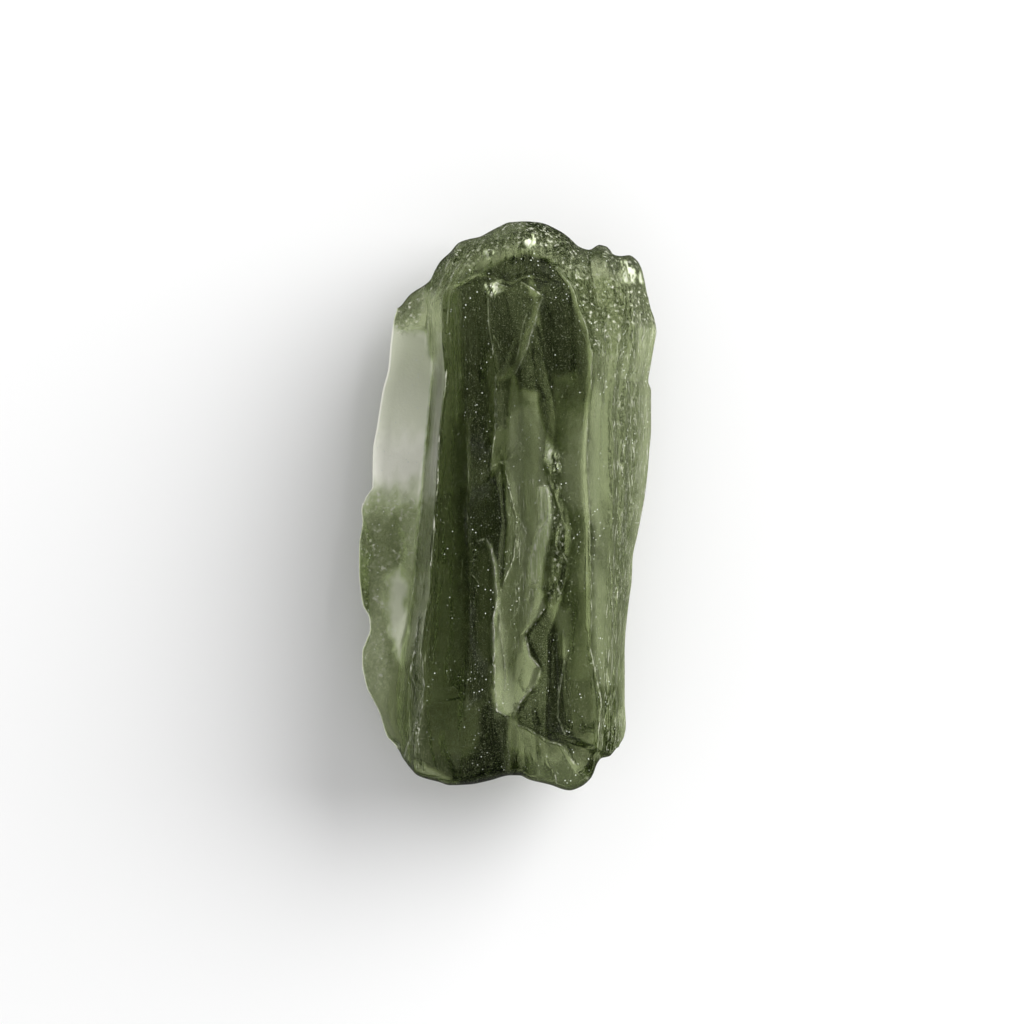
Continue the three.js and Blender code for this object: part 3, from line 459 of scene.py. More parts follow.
# Frosting, where the surface is finely etched and pale, painted the same way. On the wing it is
# also painted light, for the light that comes through the thin glass.
BODY_FROST = 0
FROSTS_AND_PAINTED_LIGHT = [
    # wing, where the frost is partly etching and partly painted light: paler towards the foot of its
    # smooth part, then its top, its mottled part with the root, the window and the lowest lobe
    (0.8, 0.5, [(-10, 9.2), (-3, 9), (-3, -2), (-10, -2)]),
    (0.85, 1.5, [(-10, 6.5), (-2, 6.5), (-2, -4), (-10, -4)]),
    (1, 1.2, [(-10, 3.4), (-2, 3.4), (-2, -4), (-10, -4)]),
    (0.15, 0.4, [(-10, 15), (-3, 15), (-3.6, 10), (-4.5, 9), (-10, 9.4)]),
    (0.1, 1.8, [(-10, 0.2), (-1, 0.2), (-1, -16), (-10, -16)]),
    (0.35, 0.5, WING_ROOT_PATCH),
    (0.8, 0.4, WINDOW),
    (0.2, 0.3, LOWEST_LOBE),
    # body, the pale flute, ridge band, middle, tongue, its pale streak, clear left side and tip
    (0, 0.12, BODY_LEFT + [(-5.2, -12.5), (-5, -15), (9, -15), (9, 15)]),
    (0.3, 0.2, PALE_FLUTE),
    (0.04, 0.12, [(-3.8, 6.3), (-3.9, 1), (-4.2, -3), (-4, -5), (-4.2, -12.5), (-5.1, -12.5), (-4.3, 0.3)]),
    (0.1, 0.2, MIDDLE),
    (0.13, 0.15, [(0.1, 2.2), (0.2, -0.7), (0, -2.7)] + TONGUE),
    (0.38, 0.12, [
        (1.55, 1), (2.1, 1), (2.2, -0.7), (1.9, -2.5), (1.5, -3.9), (1, -3.9), (0.95, -2.7), (1.25, -1.6),
        (1.5, -0.7),
    ]),
    (0, 0.3, [(-0.2, 0.5), (0.5, 0), (0.7, -4), (0.7, -8), (-0.1, -8), (-0.4, -4)]),
    (0.3, 0.3, [(-0.7, -8), (0, -8.4), (0.6, -8.8), (1.3, -8.9), (0.5, -9.9), (0.1, -10.6), (-0.6, -10.2)]),
    # right side of the nose, the strip beside the facet, and the top of the smooth strip
    (0.3, 0.1, [
        (-1.1, -1.7), (-0.75, -1.9), (-0.5, -2.8), (-0.42, -5), (-0.6, -6), (-0.5, -7.3), (-0.75, -7.4),
        (-0.85, -6), (-0.65, -5), (-0.72, -3), (-0.9, -2.1),
    ]),
    (0.1, 0.12, [(1.5, 10), (1.7, 10), (1.1, 7.9), (0.4, 6.5), (0.2, 6.6), (0.9, 8)]),
    (0.05, 0.3, [(2.6, 2.6), (3.8, 2.6), (3.9, 0), (2.9, 0)]),
    # clear again right of the tongue's torn side, with a hazy top
    (0, 0.1, TORN_SIDE + [(3.2, -11), (3, -8), (2.9, -5)]),
    (0.12, 0.25, [(2.3, -5), (3.1, -5), (3.1, -7.6), (2.6, -7.4)]),
    # knobs at the far right, wedge, and the far edge of the crown
    (0.1, 0.4, [(3.4, 14), (8, 14), (8, 9), (6.6, 9), (5.8, 11.2), (3.4, 12)]),
    (0.12, 0.3, [(1, -12.4), (3, -12.4), (4.1, -13.4), (3.2, -14.6), (1, -14.4)]),
    (0.2, 0.3, [(-3, 12.4), (-1.2, 13.2), (0.9, 13.6), (1, 15), (-3, 15)]),
    # flank, hazy patches on its left edge, and its rim, whose paleness is a painted highlight
    (0.11, 0.2, [(4.3, 9), (8, 9), (8, -9), (4.5, -9), (4.2, 0)]),
    (0.25, 0.3, [(4.1, 5.4), (4.4, 6.4), (4.8, 5), (4.8, 1), (4.5, -2), (4.1, 0)]),
    (0.22, 0.3, [(4.15, -4), (4.4, -2.6), (4.8, -4), (4.8, -6.6), (4.5, -8.4), (4.15, -7)]),
    (0.24, 0.3, [(6.6, 9), (8, 9), (8, -13), (5.4, -13), (6, -3), (6.6, 3)]),
]
# How much paler the worn tops of the fine ridges are painted, wear with a painted highlight, or
# darker the grooves, a painted shade, for each millimetre of their height, and how much that varies
WEAR_LIGHT_AND_SHADE = 2.2
WEAR_LIGHT_AND_SHADE_VARIES = 0.35
# The most half widths at which a fine line is still felt, and how far those lines waver
FARTHEST = 4.0
WAVER = 0.07
# How pale the thin edge of the wing is painted, as a painted highlight, and how wide
PAINTED_EDGE_HIGHLIGHT = 0.9
EDGE_WIDTH = 0.1
# How far the painted edges are torn for each millimetre of fading, up to the most
TEAR_REACH = 0.4
MOST_TORN = 1
# How far wrinkles bend and stripes sway, and what the fine grains count in each noise
BEND = 0.25
SWAY = 0.12
FINE_TEARS = 0.5
FINE_SHARE = 0.4
# Noises of the skin: the width and length of their grains, and their seed. One that is used in
# several places has its seed shifted.
NOISES = {
    "tear": (0.4, 0.7, 20), "fine tear": (0.4 / 3, 0.7 / 3, 21), "wear_light_and_shade": (0.2, 0.4, 30),
    "facet": (0.11, 0.45, 35), "fine facet": (0.07, 0.25, 36), "swell": (1.4, 3, 80),
    "waver across": (0.5, 1.1, 40), "waver along": (0.8, 0.8, 41),
    "sway": (2, 2.4, 0), "stripe": (0.45, 5, 1), "fine stripe": (0.17, 2.2, 2),
    "bend": (0.9, 0.9, 0), "wrinkle": (0.42, 0.6, 1), "fine wrinkle": (0.24, 0.3, 2),
}
TEAR_SHIFTS = (0, 2)
TOP_STRIPES, TOP_WRINKLES = 50, 60
BASE_STRIPES, BASE_WRINKLES = 90, 95

# The fine mesh: rows along the stone, how much closer together they lie at the ends, steps that find
# the ends, how much coarser the lower face is, and cells of a noise before it repeats
ROWS = 340
ROW_CROWDING = 0.4
END_STEPS = 40
LOWER_STEP = 2
LATTICE = 256


def clamp(value):
    return np.clip(value, 0, 1)


def mix(a, b, share):
    return a + (b - a) * share


def smooth(share):
    return share * share * (3 - 2 * share)


def through(keys, at):
    """A curve through keys of (at, value) that never swings past them."""
    places, values = np.array(sorted(keys), float).T
    at = np.clip(at, places[0], places[-1])
    spans = np.diff(places)
    slopes = np.diff(values) / spans
    product = slopes[:-1] * slopes[1:]
    total = slopes[:-1] + slopes[1:]
    tangents = np.zeros(len(places))
    tangents[1:-1] = np.where(product > 0, 2 * product / np.where(total == 0, 1, total), 0)
    i = np.clip(np.searchsorted(places, at, side="right") - 1, 0, len(spans) - 1)
    t = (at - places[i]) / spans[i]
    swing = t * (1 - t) * spans[i] * (tangents[i] * (1 - t) - tangents[i + 1] * t)
    return mix(values[i], values[i + 1], smooth(t)) + swing


def nearest(line, x, y):
    """Distance to a line, and the same signed to be above 0 on its left."""
    best = np.full(x.shape, np.inf)
    side = np.zeros(x.shape)
    for (ax, ay), (bx, by) in zip(line, line[1:]):
        dx, dy = bx - ax, by - ay
        share = clamp(((x - ax) * dx + (y - ay) * dy) / (dx * dx + dy * dy))
        distance = np.hypot(x - ax - dx * share, y - ay - dy * share)
        nearer = distance < best
        best = np.where(nearer, distance, best)
        side = np.where(nearer, np.sign(dx * (y - ay) - dy * (x - ax)) * distance, side)
    return best, side


def inside(outline, x, y):
    """True where a point lies inside a closed outline."""
    odd = np.zeros(x.shape, bool)
    for (ax, ay), (bx, by) in zip(outline, outline[1:] + outline[:1]):
        if ay != by:
            odd ^= ((ay > y) != (by > y)) & (x < ax + (y - ay) / (by - ay) * (bx - ax))
    return odd


def area(outline, soft, x, y):
    """1 inside an outline and 0 outside, fading across its edge."""
    distance, _ = nearest(outline + outline[:1], x, y)
    signed = np.where(inside(outline, x, y), distance, -distance)
    return smooth(clamp(0.5 + signed / (2 * soft)))


def ledges(features, x, y):
    total = np.zeros(x.shape)
    for height, edge, reach, line in features:
        distance, side = nearest(line, x, y)
        total += height * smooth(clamp(0.5 + side / (2 * edge))) * np.maximum(0, 1 - distance / reach) ** 2
    return total


def furrows(features, x, y):
    total = np.zeros(x.shape)
    for height, half, line in features:
        total += height * np.maximum(0, 1 - nearest(line, x, y)[0] / half) ** 2
    return total


def lumps(features, x, y):
    total = np.zeros(x.shape)
    for cx, cy, radius, height in features:
        total += height * np.maximum(0, 1 - ((x - cx) ** 2 + (y - cy) ** 2) / radius**2) ** 2
    return total


def fluted(phase):
    """Flutes whose ridges are sharp and whose floors are round, from 0 on a ridge to -1 on a floor."""
    return -np.abs(np.sin(math.pi * phase))


def grain(x, y, name, shift=0):
    """Smooth noise from -1 to 1, one of NOISES."""
    width, length, seed = NOISES[name]
    lattice = np.random.default_rng(seed + shift).uniform(-1, 1, (LATTICE, LATTICE))
    u, v = x / width + LATTICE, y / length + LATTICE
    i, j = np.floor(u).astype(int), np.floor(v).astype(int)
    s, t = smooth(u - i), smooth(v - j)
    near = mix(lattice[i % LATTICE, j % LATTICE], lattice[(i + 1) % LATTICE, j % LATTICE], s)
    far = mix(lattice[i % LATTICE, (j + 1) % LATTICE], lattice[(i + 1) % LATTICE, (j + 1) % LATTICE], s)
    return mix(near, far, t)


def opened(rounding, x, y):
    """How far the faces have come out from the rim, from 0 on the rim to 1."""
    depths = (
        x - through(LEFT_EDGE, y),
        through(RIGHT_EDGE, y) - x,
        through(CROWN_EDGE, x) - y,
        y - through(BROKEN_EDGE, x),
    )
    total = np.ones(x.shape)
    for depth, radius in zip(depths, rounding):
        total *= np.sqrt(1 - (1 - clamp(depth / radius)) ** 2)
    return total


def rim_height(x, y):
    height = through(RIM_HEIGHT, x) + RIM_END_LIFT * (2 * y / LENGTH) ** 4
    for rise, along, across, start in RIM_WAVES:
        height += rise * np.sin(along * y + across * x + start)
    return height


def between(line, following, kind, share, y):
    return mix(through(line[kind], y), through(following[kind], y), share)


def end_of(line, following, share, edge, start):
    """Where the mesh's columns in one strip run out at one end of the stone."""
    y = np.full(share.shape, float(start))
    for _ in range(END_STEPS):
        y = mix(y, through(edge, between(line, following, "x", share, y)), 0.5)
    return y


def plan_grid():
    """Where the skin's points lie seen from above, the plain height of the upper face there, and
    the lane, which runs across the stone and follows its lines."""
    even = np.linspace(0, 1, ROWS + 1)[:, None]
    spread = even - ROW_CROWDING / (2 * math.pi) * np.sin(2 * math.pi * even)
    lines = list(TOP_LINES.values())
    blocks = []
    lane_start = 0
    for number, (line, following) in enumerate(zip(lines, lines[1:])):
        last = number == len(lines) - 2
        share = np.arange(line["cells"] + last) / line["cells"]
        if number == 0:
            share = 1 - np.cos(math.pi / 2 * share)
        if last:
            share = np.sin(math.pi / 2 * share)
        near = end_of(line, following, share, BROKEN_EDGE, -LENGTH / 2)
        far = end_of(line, following, share, CROWN_EDGE, LENGTH / 2)
        y = mix(near, far, spread)
        x = between(line, following, "x", share, y)
        bowed = between(line, following, "z", share, y) - line.get("bow", 0) * 4 * share * (1 - share)
        height = bowed + line.get("rib_depth", 0) * fluted(line.get("ribs", 0) * share)
        width = float(np.mean(through(following["x"], y) - through(line["x"], y)))
        lane = lane_start + width * share + 0 * y
        lane_start += width
        blocks.append((x, y, height, lane))
    return [np.hstack(block) for block in zip(*blocks)]


def sparkle_of(x, y):
    """1 in the glittering patches and 0 outside."""
    patches = np.zeros(x.shape)
    for outline in SPARKLES:
        patches = np.maximum(patches, area(outline, SPARKLE_SOFT, x, y))
    return patches


def painted_glints(x, y):
    """The pale facets of those patches, painted glints, with dark ones between."""
    facets = np.zeros(x.shape)
    for name, weight, lean in PAINTED_GLINT_FACETS:
        facets += weight * grain(x + lean * y, y, name)
    return PAINTED_GLINT * sparkle_of(x, y) * smooth(clamp(0.5 + PAINTED_GLINT_CONTRAST * (facets - PAINTED_GLINT_SHARE)))


def crust_of(x, y):
    """How wrinkled the upper face is, from 0 to 1."""
    crust = sparkle_of(x, y)
    for amount, soft, outline in CRUSTS:
        crust = np.maximum(crust, amount * area(outline, soft, x, y))
    return crust


def painted(ground, coats, x, y):
    """An even field that is painted over one area after another, with torn edges."""
    tear_x, tear_y = [
        grain(x, y, "tear", shift) + FINE_TEARS * grain(x, y, "fine tear", shift) for shift in TEAR_SHIFTS
    ]
    field = np.full(x.shape, float(ground))
    for amount, soft, outline in coats:
        reach = TEAR_REACH * min(soft, MOST_TORN)
        field = mix(field, amount, area(outline, soft, x + reach * tear_x, y + reach * tear_y))
    return field


def wavered(x, y):
    """The same places a little astray, so that a line drawn there wavers."""
    return x + WAVER * grain(x, y, "waver across"), y + WAVER * grain(x, y, "waver along")


def frost_and_light_of(x, y):
    """How etched the upper face is, from 0 to 1, with the painted light on the wing, the painted
    highlight on its thin edge and the painted glints.
    """
    # painted highlight along the wing's thin left edge
    edge = PAINTED_EDGE_HIGHLIGHT * clamp(1 - (x - through(LEFT_EDGE, y)) / EDGE_WIDTH)
    return clamp(painted(BODY_FROST, FROSTS_AND_PAINTED_LIGHT, x, y) + edge + painted_glints(x, y))


def lines_of(x, y):
    """The distance to the nearest fine line, signed and plain, in half widths of that line, and how
    pale it is painted, for wear and a painted highlight, below 0, a painted shade, where it is a
    groove. The material draws the lines by these, finer than the mesh is."""
    x, y = wavered(x, y)
    nearness = np.full(x.shape, FARTHEST)
    side = np.full(x.shape, FARTHEST)
    wear_light_and_shade = np.zeros(x.shape)
    for height, half, line in FINE_LINES:
        distance, signed = nearest(line, x, y)
        nearer = distance / half < nearness
        nearness = np.where(nearer, distance / half, nearness)
        side = np.where(nearer, signed / half, side)
        wear_light_and_shade = np.where(nearer, WEAR_LIGHT_AND_SHADE * height, wear_light_and_shade)
    return side, nearness, wear_light_and_shade * mix(1, grain(x, y, "wear_light_and_shade"), WEAR_LIGHT_AND_SHADE_VARIES)


def wrinkles(x, y, shift):
    """Crumpled relief from about -1 to 1."""
    bend = BEND * grain(x, y, "bend", shift)
    coarse = 1 - 2 * np.abs(grain(x + bend, y - bend, "wrinkle", shift))
    fine = 1 - 2 * np.abs(grain(x - bend, y + bend, "fine wrinkle", shift))
    return mix(coarse, fine, FINE_SHARE)


def stripes(lane, y, shift):
    """Relief drawn out along the stone, from about -1 to 1."""
    swaying = lane + SWAY * grain(lane, y, "sway", shift)
    return mix(grain(swaying, y, "stripe", shift), grain(swaying, y, "fine stripe", shift), FINE_SHARE)


def top_relief(lane, x, y):
    """The upper face's fine relief."""
    lines = furrows(FINE_LINES, *wavered(x, y))
    striped = STRIPE_HEIGHT * painted(BODY_STRIPED, STRIPED_AREAS, x, y) * stripes(lane, y, TOP_STRIPES)
    crumpled = WRINKLE_HEIGHT * crust_of(x, y) * wrinkles(x, y, TOP_WRINKLES)
    swell = SWELL_HEIGHT * grain(x, y, "swell")
    return lines + lumps(MARKS, x, y) + striped + crumpled + swell


def top_height(plain_height, lane, x, y):
    formed = plain_height + ledges(LEDGES, x, y) + furrows(FURROWS, x, y) + lumps(LUMPS, x, y)
    formed += top_relief(lane, x, y)
    rim = rim_height(x, y)
    return mix(rim, np.maximum(formed, rim + LEAST_RISE), opened(TOP_ROUND, x, y))


def base_height(lane, x, y):
    away = np.hypot((x - SPOT_X) / SPOT_ACROSS, (y - SPOT_Y) / SPOT_ALONG)
    outside = smooth(clamp(away - SPOT_FLAT))
    wander = sum(reach * np.sin(along * y + start) for reach, along, start in BASE_FLUTE_WAVES)
    flute = -BASE_FLUTE_DEPTH * fluted(x / BASE_FLUTE_PITCH + wander) * outside
    lift = BASE_END_LIFT * ((y - SPOT_Y) * 2 / LENGTH) ** 2
    striped = BASE_STRIPE_HEIGHT * stripes(lane, y, BASE_STRIPES)
    crumpled = BASE_WRINKLE_HEIGHT * wrinkles(x, y, BASE_WRINKLES)
    formed = through(BASE_HEIGHT, x) + flute + lift + lumps(BASE_LUMPS, x, y) + outside * (striped + crumpled)
    rim = rim_height(x, y)
    return np.maximum(0, mix(rim, np.minimum(formed, rim - LEAST_RISE), opened(BASE_ROUND, x, y)))


def fitted(corners):
    """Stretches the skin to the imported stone's box."""
    low, high = corners.min(0), corners.max(0)
    frame_low, frame_high = np.array(node_low), np.array(node_high)
    return frame_low + (corners - low) / (high - low) * (frame_high - frame_low)


def sheet_faces(index, step, flipped):
    """Faces of one sheet of the grid, as rings that leave out the points that the sheet hasn't got."""
    rows, columns = index.shape
    half_ring = [(0, k) for k in range(step)] + [(k, step) for k in range(step)]
    ring = half_ring + [(step - up_by, step - along) for up_by, along in half_ring]
    if flipped:
        ring = ring[::-1]
    points = index.tolist()
    faces = []
    for row in range(0, rows - 1, step):
        for column in range(0, columns - 1, step):
            corners = [points[row + up_by][column + along] for up_by, along in ring]
            faces.append([corner for corner in corners if corner >= 0])
    return faces


def linked(name, data):
    """A new object of the scene."""
    new = bpy.data.objects.new(name, data)
    bpy.context.scene.collection.objects.link(new)
    return new


def skin_fields(x, y):
    """The upper face's fields for the material, each with the value of the lower face, which is
    plain and clear, so that what is painted isn't seen twice."""
    line_side, line_nearness, line_wear_light_and_shade = lines_of(x, y)
    return {
        "crust": (crust_of(x, y), BASE_CRUST),
        "striped": (painted(BODY_STRIPED, STRIPED_AREAS, x, y), BASE_STRIPED),
        "line_side": (line_side, FARTHEST),
        "line_nearness": (line_nearness, FARTHEST),
        "line_wear_light_and_shade": (line_wear_light_and_shade, 0),
        "frost_and_light": (frost_and_light_of(x, y), 0),
        # clearness: painted light and shade of the glass, and plain clear on the lower face
        "clearness_and_shade": (painted(BODY_CLEARNESS_AND_SHADE, TINTS_OF_LIGHT_AND_SHADE, x, y), 1),
    }


def stone_skin():
    """The closed skin: a fine upper sheet and a coarser lower one that meet at the rim."""
    x, y, plain_height, lane = plan_grid()
    on_rim = np.zeros(x.shape, bool)
    on_rim[[0, -1], :] = True
    on_rim[:, [0, -1]] = True
    lower = np.zeros(x.shape, bool)
    lower[::LOWER_STEP, ::LOWER_STEP] = True
    lower &= ~on_rim
    top = np.where(on_rim, rim_height(x, y), top_height(plain_height, lane, x, y))
    base = base_height(lane, x, y)
    upper_index = np.arange(x.size).reshape(x.shape)
    lower_index = np.where(on_rim, upper_index, -1)
    lower_index[lower] = x.size + np.arange(lower.sum())
    upper_corners = np.stack([x, y, top], -1).reshape(-1, 3)
    lower_corners = np.stack([x[lower], y[lower], base[lower]], -1)
    faces = sheet_faces(upper_index, 1, False) + sheet_faces(lower_index, LOWER_STEP, True)
    mesh = bpy.data.meshes.new("moldavite_glass")
    mesh.from_pydata(fitted(np.vstack([upper_corners, lower_corners])), [], faces)
    mesh.shade_smooth()
    for name, (field, below) in skin_fields(x, y).items():
        values = np.concatenate([field.ravel(), np.full(lower.sum(), below)]).astype(np.float32)
        mesh.attributes.new(name, "FLOAT", "POINT").data.foreach_set("value", values)
    return linked("moldavite_glass", mesh)


# Glass. Absorption is per metre, so it darkens the stone by its depth. Roughness is that of the
# smooth and of the crusted glass, and tints go from dark to clear, their dark end being painted
# shade over the glass's green.
GLASS_IOR = 1.49
ABSORPTION_COLOUR = (0.33, 0.42, 0.1, 1)
ABSORPTION_DENSITY = 100
ROUGHNESS = (0.02, 0.15)
TINT_AND_SHADE_STOPS = [
    (0, (0.014, 0.018, 0.007, 1)), (0.3, (0.14, 0.165, 0.072, 1)), (0.6, (0.36, 0.43, 0.185, 1)),
    (1, (0.92, 0.98, 0.66, 1)),
]
# Frost: its colour where it is thin and thick, where one turns into the other in the etched areas
# and in pale marks, and the frost that hides the tint. The same colours give the painted light on
# the wing and the painted highlights of its edge and of the ridges.
THIN_FROST_AND_LIGHT = (0.57, 0.66, 0.36, 1)
THICK_FROST_AND_LIGHT = (1, 1, 0.88, 1)
THIN_TO_THICK = (0.45, 1)
MARK_TO_THICK = (0.05, 0.35)
FROST_AND_LIGHT_COVER = 0.5
# Pale specks: their spacing, how far from its middle each fades out, the noise that gathers them
# in patches, and the part of it where those fade in
SPECK_COLOUR = (0.78, 0.82, 0.76, 1)
SPECK_SPACING = 0.26
SPECK_SIZE = (0.08, 0.16)
SPECK_PATCHES = (0.8, 2.4, 2)
SPECK_GATHERED = (0.43, 0.6)
# Noises that mark the surface, by their grains' width, length and detail. They run from 0 to 1, and
# each mark has the value where it begins, the value where it is full, and how strong it is there.
STREAKS = (0.07, 0.8, 2)
PALE_STREAKS = (0.52, 0.68, 0.35)
DARK_STREAKS = (0.5, 0.34, 0.6)
WRINKLES = (0.22, 0.22, 4)
PALE_FLECKS = (0.52, 0.7, 0.5)
SMOOTH_GRAINS = (0.06, 0.06, 0)
PALE_GRAINS = (0.66, 0.8, 0.25)
ROUGH_GRAINS = (0.06, 0.06, 2)
DARK_GRAINS = (0.65, 0.35, 0.4)
MOTTLES = (0.4, 0.4, 5)
DARK_MOTTLES = (0.56, 0.36, 0.55)
# The wrinkles' folds are painted dark, a painted shade, round this value of their noise, by the
# distance from it
FOLD_AT = 0.46
PAINTED_FOLD_SHADE = (0.09, 0.02, 0.75)
# How much of the mottling is left off the crust, and the most that dark marks take away
LEAST_MOTTLED = 0.3
MOST_DARKNESS = 0.85
# Fine lines: where the core of one and the whole of it fade out, in half widths, the noise that
# breaks them, the part of it where a break ends, and the wear, painted highlight and shade that is
# left in a break
LINE_CORE = (0.2, 0.5)
LINE_REACH = (0.7, 1)
LINE_BREAKS = (0.13, 0.39, 3)
UNBROKEN = (0.38, 0.6)
BROKEN_WEAR_LIGHT_AND_SHADE = 0.1
# Relief finer than the mesh: its noise, its strength where the face is least and most striped or
# crusted, and its height
FINE_STREAKS = {"noise": (0.12, 1.6, 3), "strength": (0.1, 0.8), "height": 0.03}
FINE_CRUMPLES = {"noise": (0.15, 0.15, 4), "strength": (0.25, 1), "height": 0.06}


def add_node(tree, kind, inputs=(), **settings):
    """A node with its settings, and its inputs set to values or linked to other nodes' outputs."""
    node = tree.nodes.new(kind)
    for name, value in settings.items():
        setattr(node, name, value)
    for name, value in dict(inputs).items():
        if isinstance(value, bpy.types.NodeSocket):
            tree.links.new(value, node.inputs[name])
        else:
            node.inputs[name].default_value = value
    return node


def attribute(tree, name):
    return add_node(tree, "ShaderNodeAttribute", attribute_name=name).outputs["Fac"]


def ranged(tree, value, low, high, source=(0, 1)):
    """A value brought from one range to another, and held at its ends."""
    inputs = {"Value": value, "From Min": source[0], "From Max": source[1], "To Min": low, "To Max": high}
    return add_node(tree, "ShaderNodeMapRange", inputs).outputs["Result"]


def mixed(tree, factor, a, b, data_type="FLOAT"):
    inputs = {"Factor": factor, "A": a, "B": b}
    return add_node(tree, "ShaderNodeMix", inputs, data_type=data_type).outputs["Result"]


def calculated(tree, operation, result, *others):
    """One operation on two values or more, from left to right."""
    for other in others:
        result = add_node(tree, "ShaderNodeMath", {0: result, 1: other}, operation=operation).outputs["Value"]
    return result


def absolute(tree, value):
    return add_node(tree, "ShaderNodeMath", {0: value}, operation="ABSOLUTE").outputs["Value"]


def noise(tree, place, grains):
    """Noise from 0 to 1. The grains' length lies along the stone."""
    width, length, detail = grains
    scale = (1 / (width * MM), 1 / (length * MM), 1 / (width * MM))
    spot = add_node(tree, "ShaderNodeMapping", {"Vector": place, "Scale": scale}).outputs["Vector"]
    return add_node(tree, "ShaderNodeTexNoise", {"Vector": spot, "Scale": 1, "Detail": detail}).outputs["Fac"]


def pale_specks(tree, place):
    """Specks gathered in patches, 1 on a speck and 0 between."""
    cells = {"Vector": place, "Scale": 1 / (SPECK_SPACING * MM)}
    distance = add_node(tree, "ShaderNodeTexVoronoi", cells).outputs["Distance"]
    gathered = ranged(tree, noise(tree, place, SPECK_PATCHES), 0, 1, SPECK_GATHERED)
    return calculated(tree, "MULTIPLY", gathered, ranged(tree, distance, 1, 0, SPECK_SIZE))


def bumped(tree, place, relief, field, normal=None):
    """The surface's normal over fine relief, on top of another one, stronger where a field is."""
    inputs = {
        "Height": noise(tree, place, relief["noise"]),
        "Strength": ranged(tree, field, *relief["strength"]),
        "Distance": relief["height"] * MM,
    }
    if normal:
        inputs["Normal"] = normal
    return add_node(tree, "ShaderNodeBump", inputs).outputs["Normal"]


def worn_lit_and_shaded_lines(tree, place):
    """How worn and lit the surface is painted along the fine lines: above 0 on a ridge, wear with a
    painted highlight, and below 0 in a groove, a painted shade.
    """
    core = ranged(tree, absolute(tree, attribute(tree, "line_side")), 1, 0, LINE_CORE)
    near = ranged(tree, attribute(tree, "line_nearness"), 1, 0, LINE_REACH)
    left = ranged(tree, noise(tree, place, LINE_BREAKS), BROKEN_WEAR_LIGHT_AND_SHADE, 1, UNBROKEN)
    return calculated(tree, "MULTIPLY", attribute(tree, "line_wear_light_and_shade"), left, core, near)


def mark(tree, value, begin, full, strength, where=1):
    """A mark that grows with a noise from one value to another, in some areas of the stone."""
    return calculated(tree, "MULTIPLY", where, ranged(tree, value, 0, strength, (begin, full)))


def surface_marks(tree, place, crust, striped):
    """How pale and how dark the surface is marked. The pale marks take in the painted highlights of the
    ridges, and the dark ones the painted shade of the grooves and folds.
    """
    streaks = noise(tree, place, STREAKS)
    wrinkled = noise(tree, place, WRINKLES)
    from_fold = absolute(tree, calculated(tree, "SUBTRACT", wrinkled, FOLD_AT))
    mottled = ranged(tree, crust, LEAST_MOTTLED, 1)
    wear_light_and_shade = worn_lit_and_shaded_lines(tree, place)
    pale = [
        mark(tree, streaks, *PALE_STREAKS, striped),
        mark(tree, wrinkled, *PALE_FLECKS, crust),
        mark(tree, noise(tree, place, SMOOTH_GRAINS), *PALE_GRAINS),
        # wear with a painted highlight on the fine ridges
        wear_light_and_shade,
    ]
    dark = [
        mark(tree, streaks, *DARK_STREAKS, striped),
        # painted shade in the folds of the wrinkles
        mark(tree, from_fold, *PAINTED_FOLD_SHADE, crust),
        mark(tree, noise(tree, place, ROUGH_GRAINS), *DARK_GRAINS),
        mark(tree, noise(tree, place, MOTTLES), *DARK_MOTTLES, mottled),
        # painted shade in the grooves of the fine lines
        calculated(tree, "MULTIPLY", wear_light_and_shade, -1),
    ]
    darkest = calculated(tree, "MAXIMUM", *dark)
    return calculated(tree, "MAXIMUM", *pale), calculated(tree, "MINIMUM", darkest, MOST_DARKNESS)


def tint_and_shade_colour(tree, dark):
    """The colour of the clear or tinted glass, with its painted light and shade, dimmed by the dark
    marks.
    """
    ramp = add_node(tree, "ShaderNodeValToRGB", {"Fac": attribute(tree, "clearness_and_shade")})
    for position, _ in TINT_AND_SHADE_STOPS[1:-1]:
        ramp.color_ramp.elements.new(position)
    for element, (position, colour) in zip(ramp.color_ramp.elements, TINT_AND_SHADE_STOPS):
        element.position = position
        element.color = colour
    dimmed = {0: ramp.outputs["Color"], "Scale": calculated(tree, "SUBTRACT", 1, dark)}
    return add_node(tree, "ShaderNodeVectorMath", dimmed, operation="SCALE").outputs["Vector"]


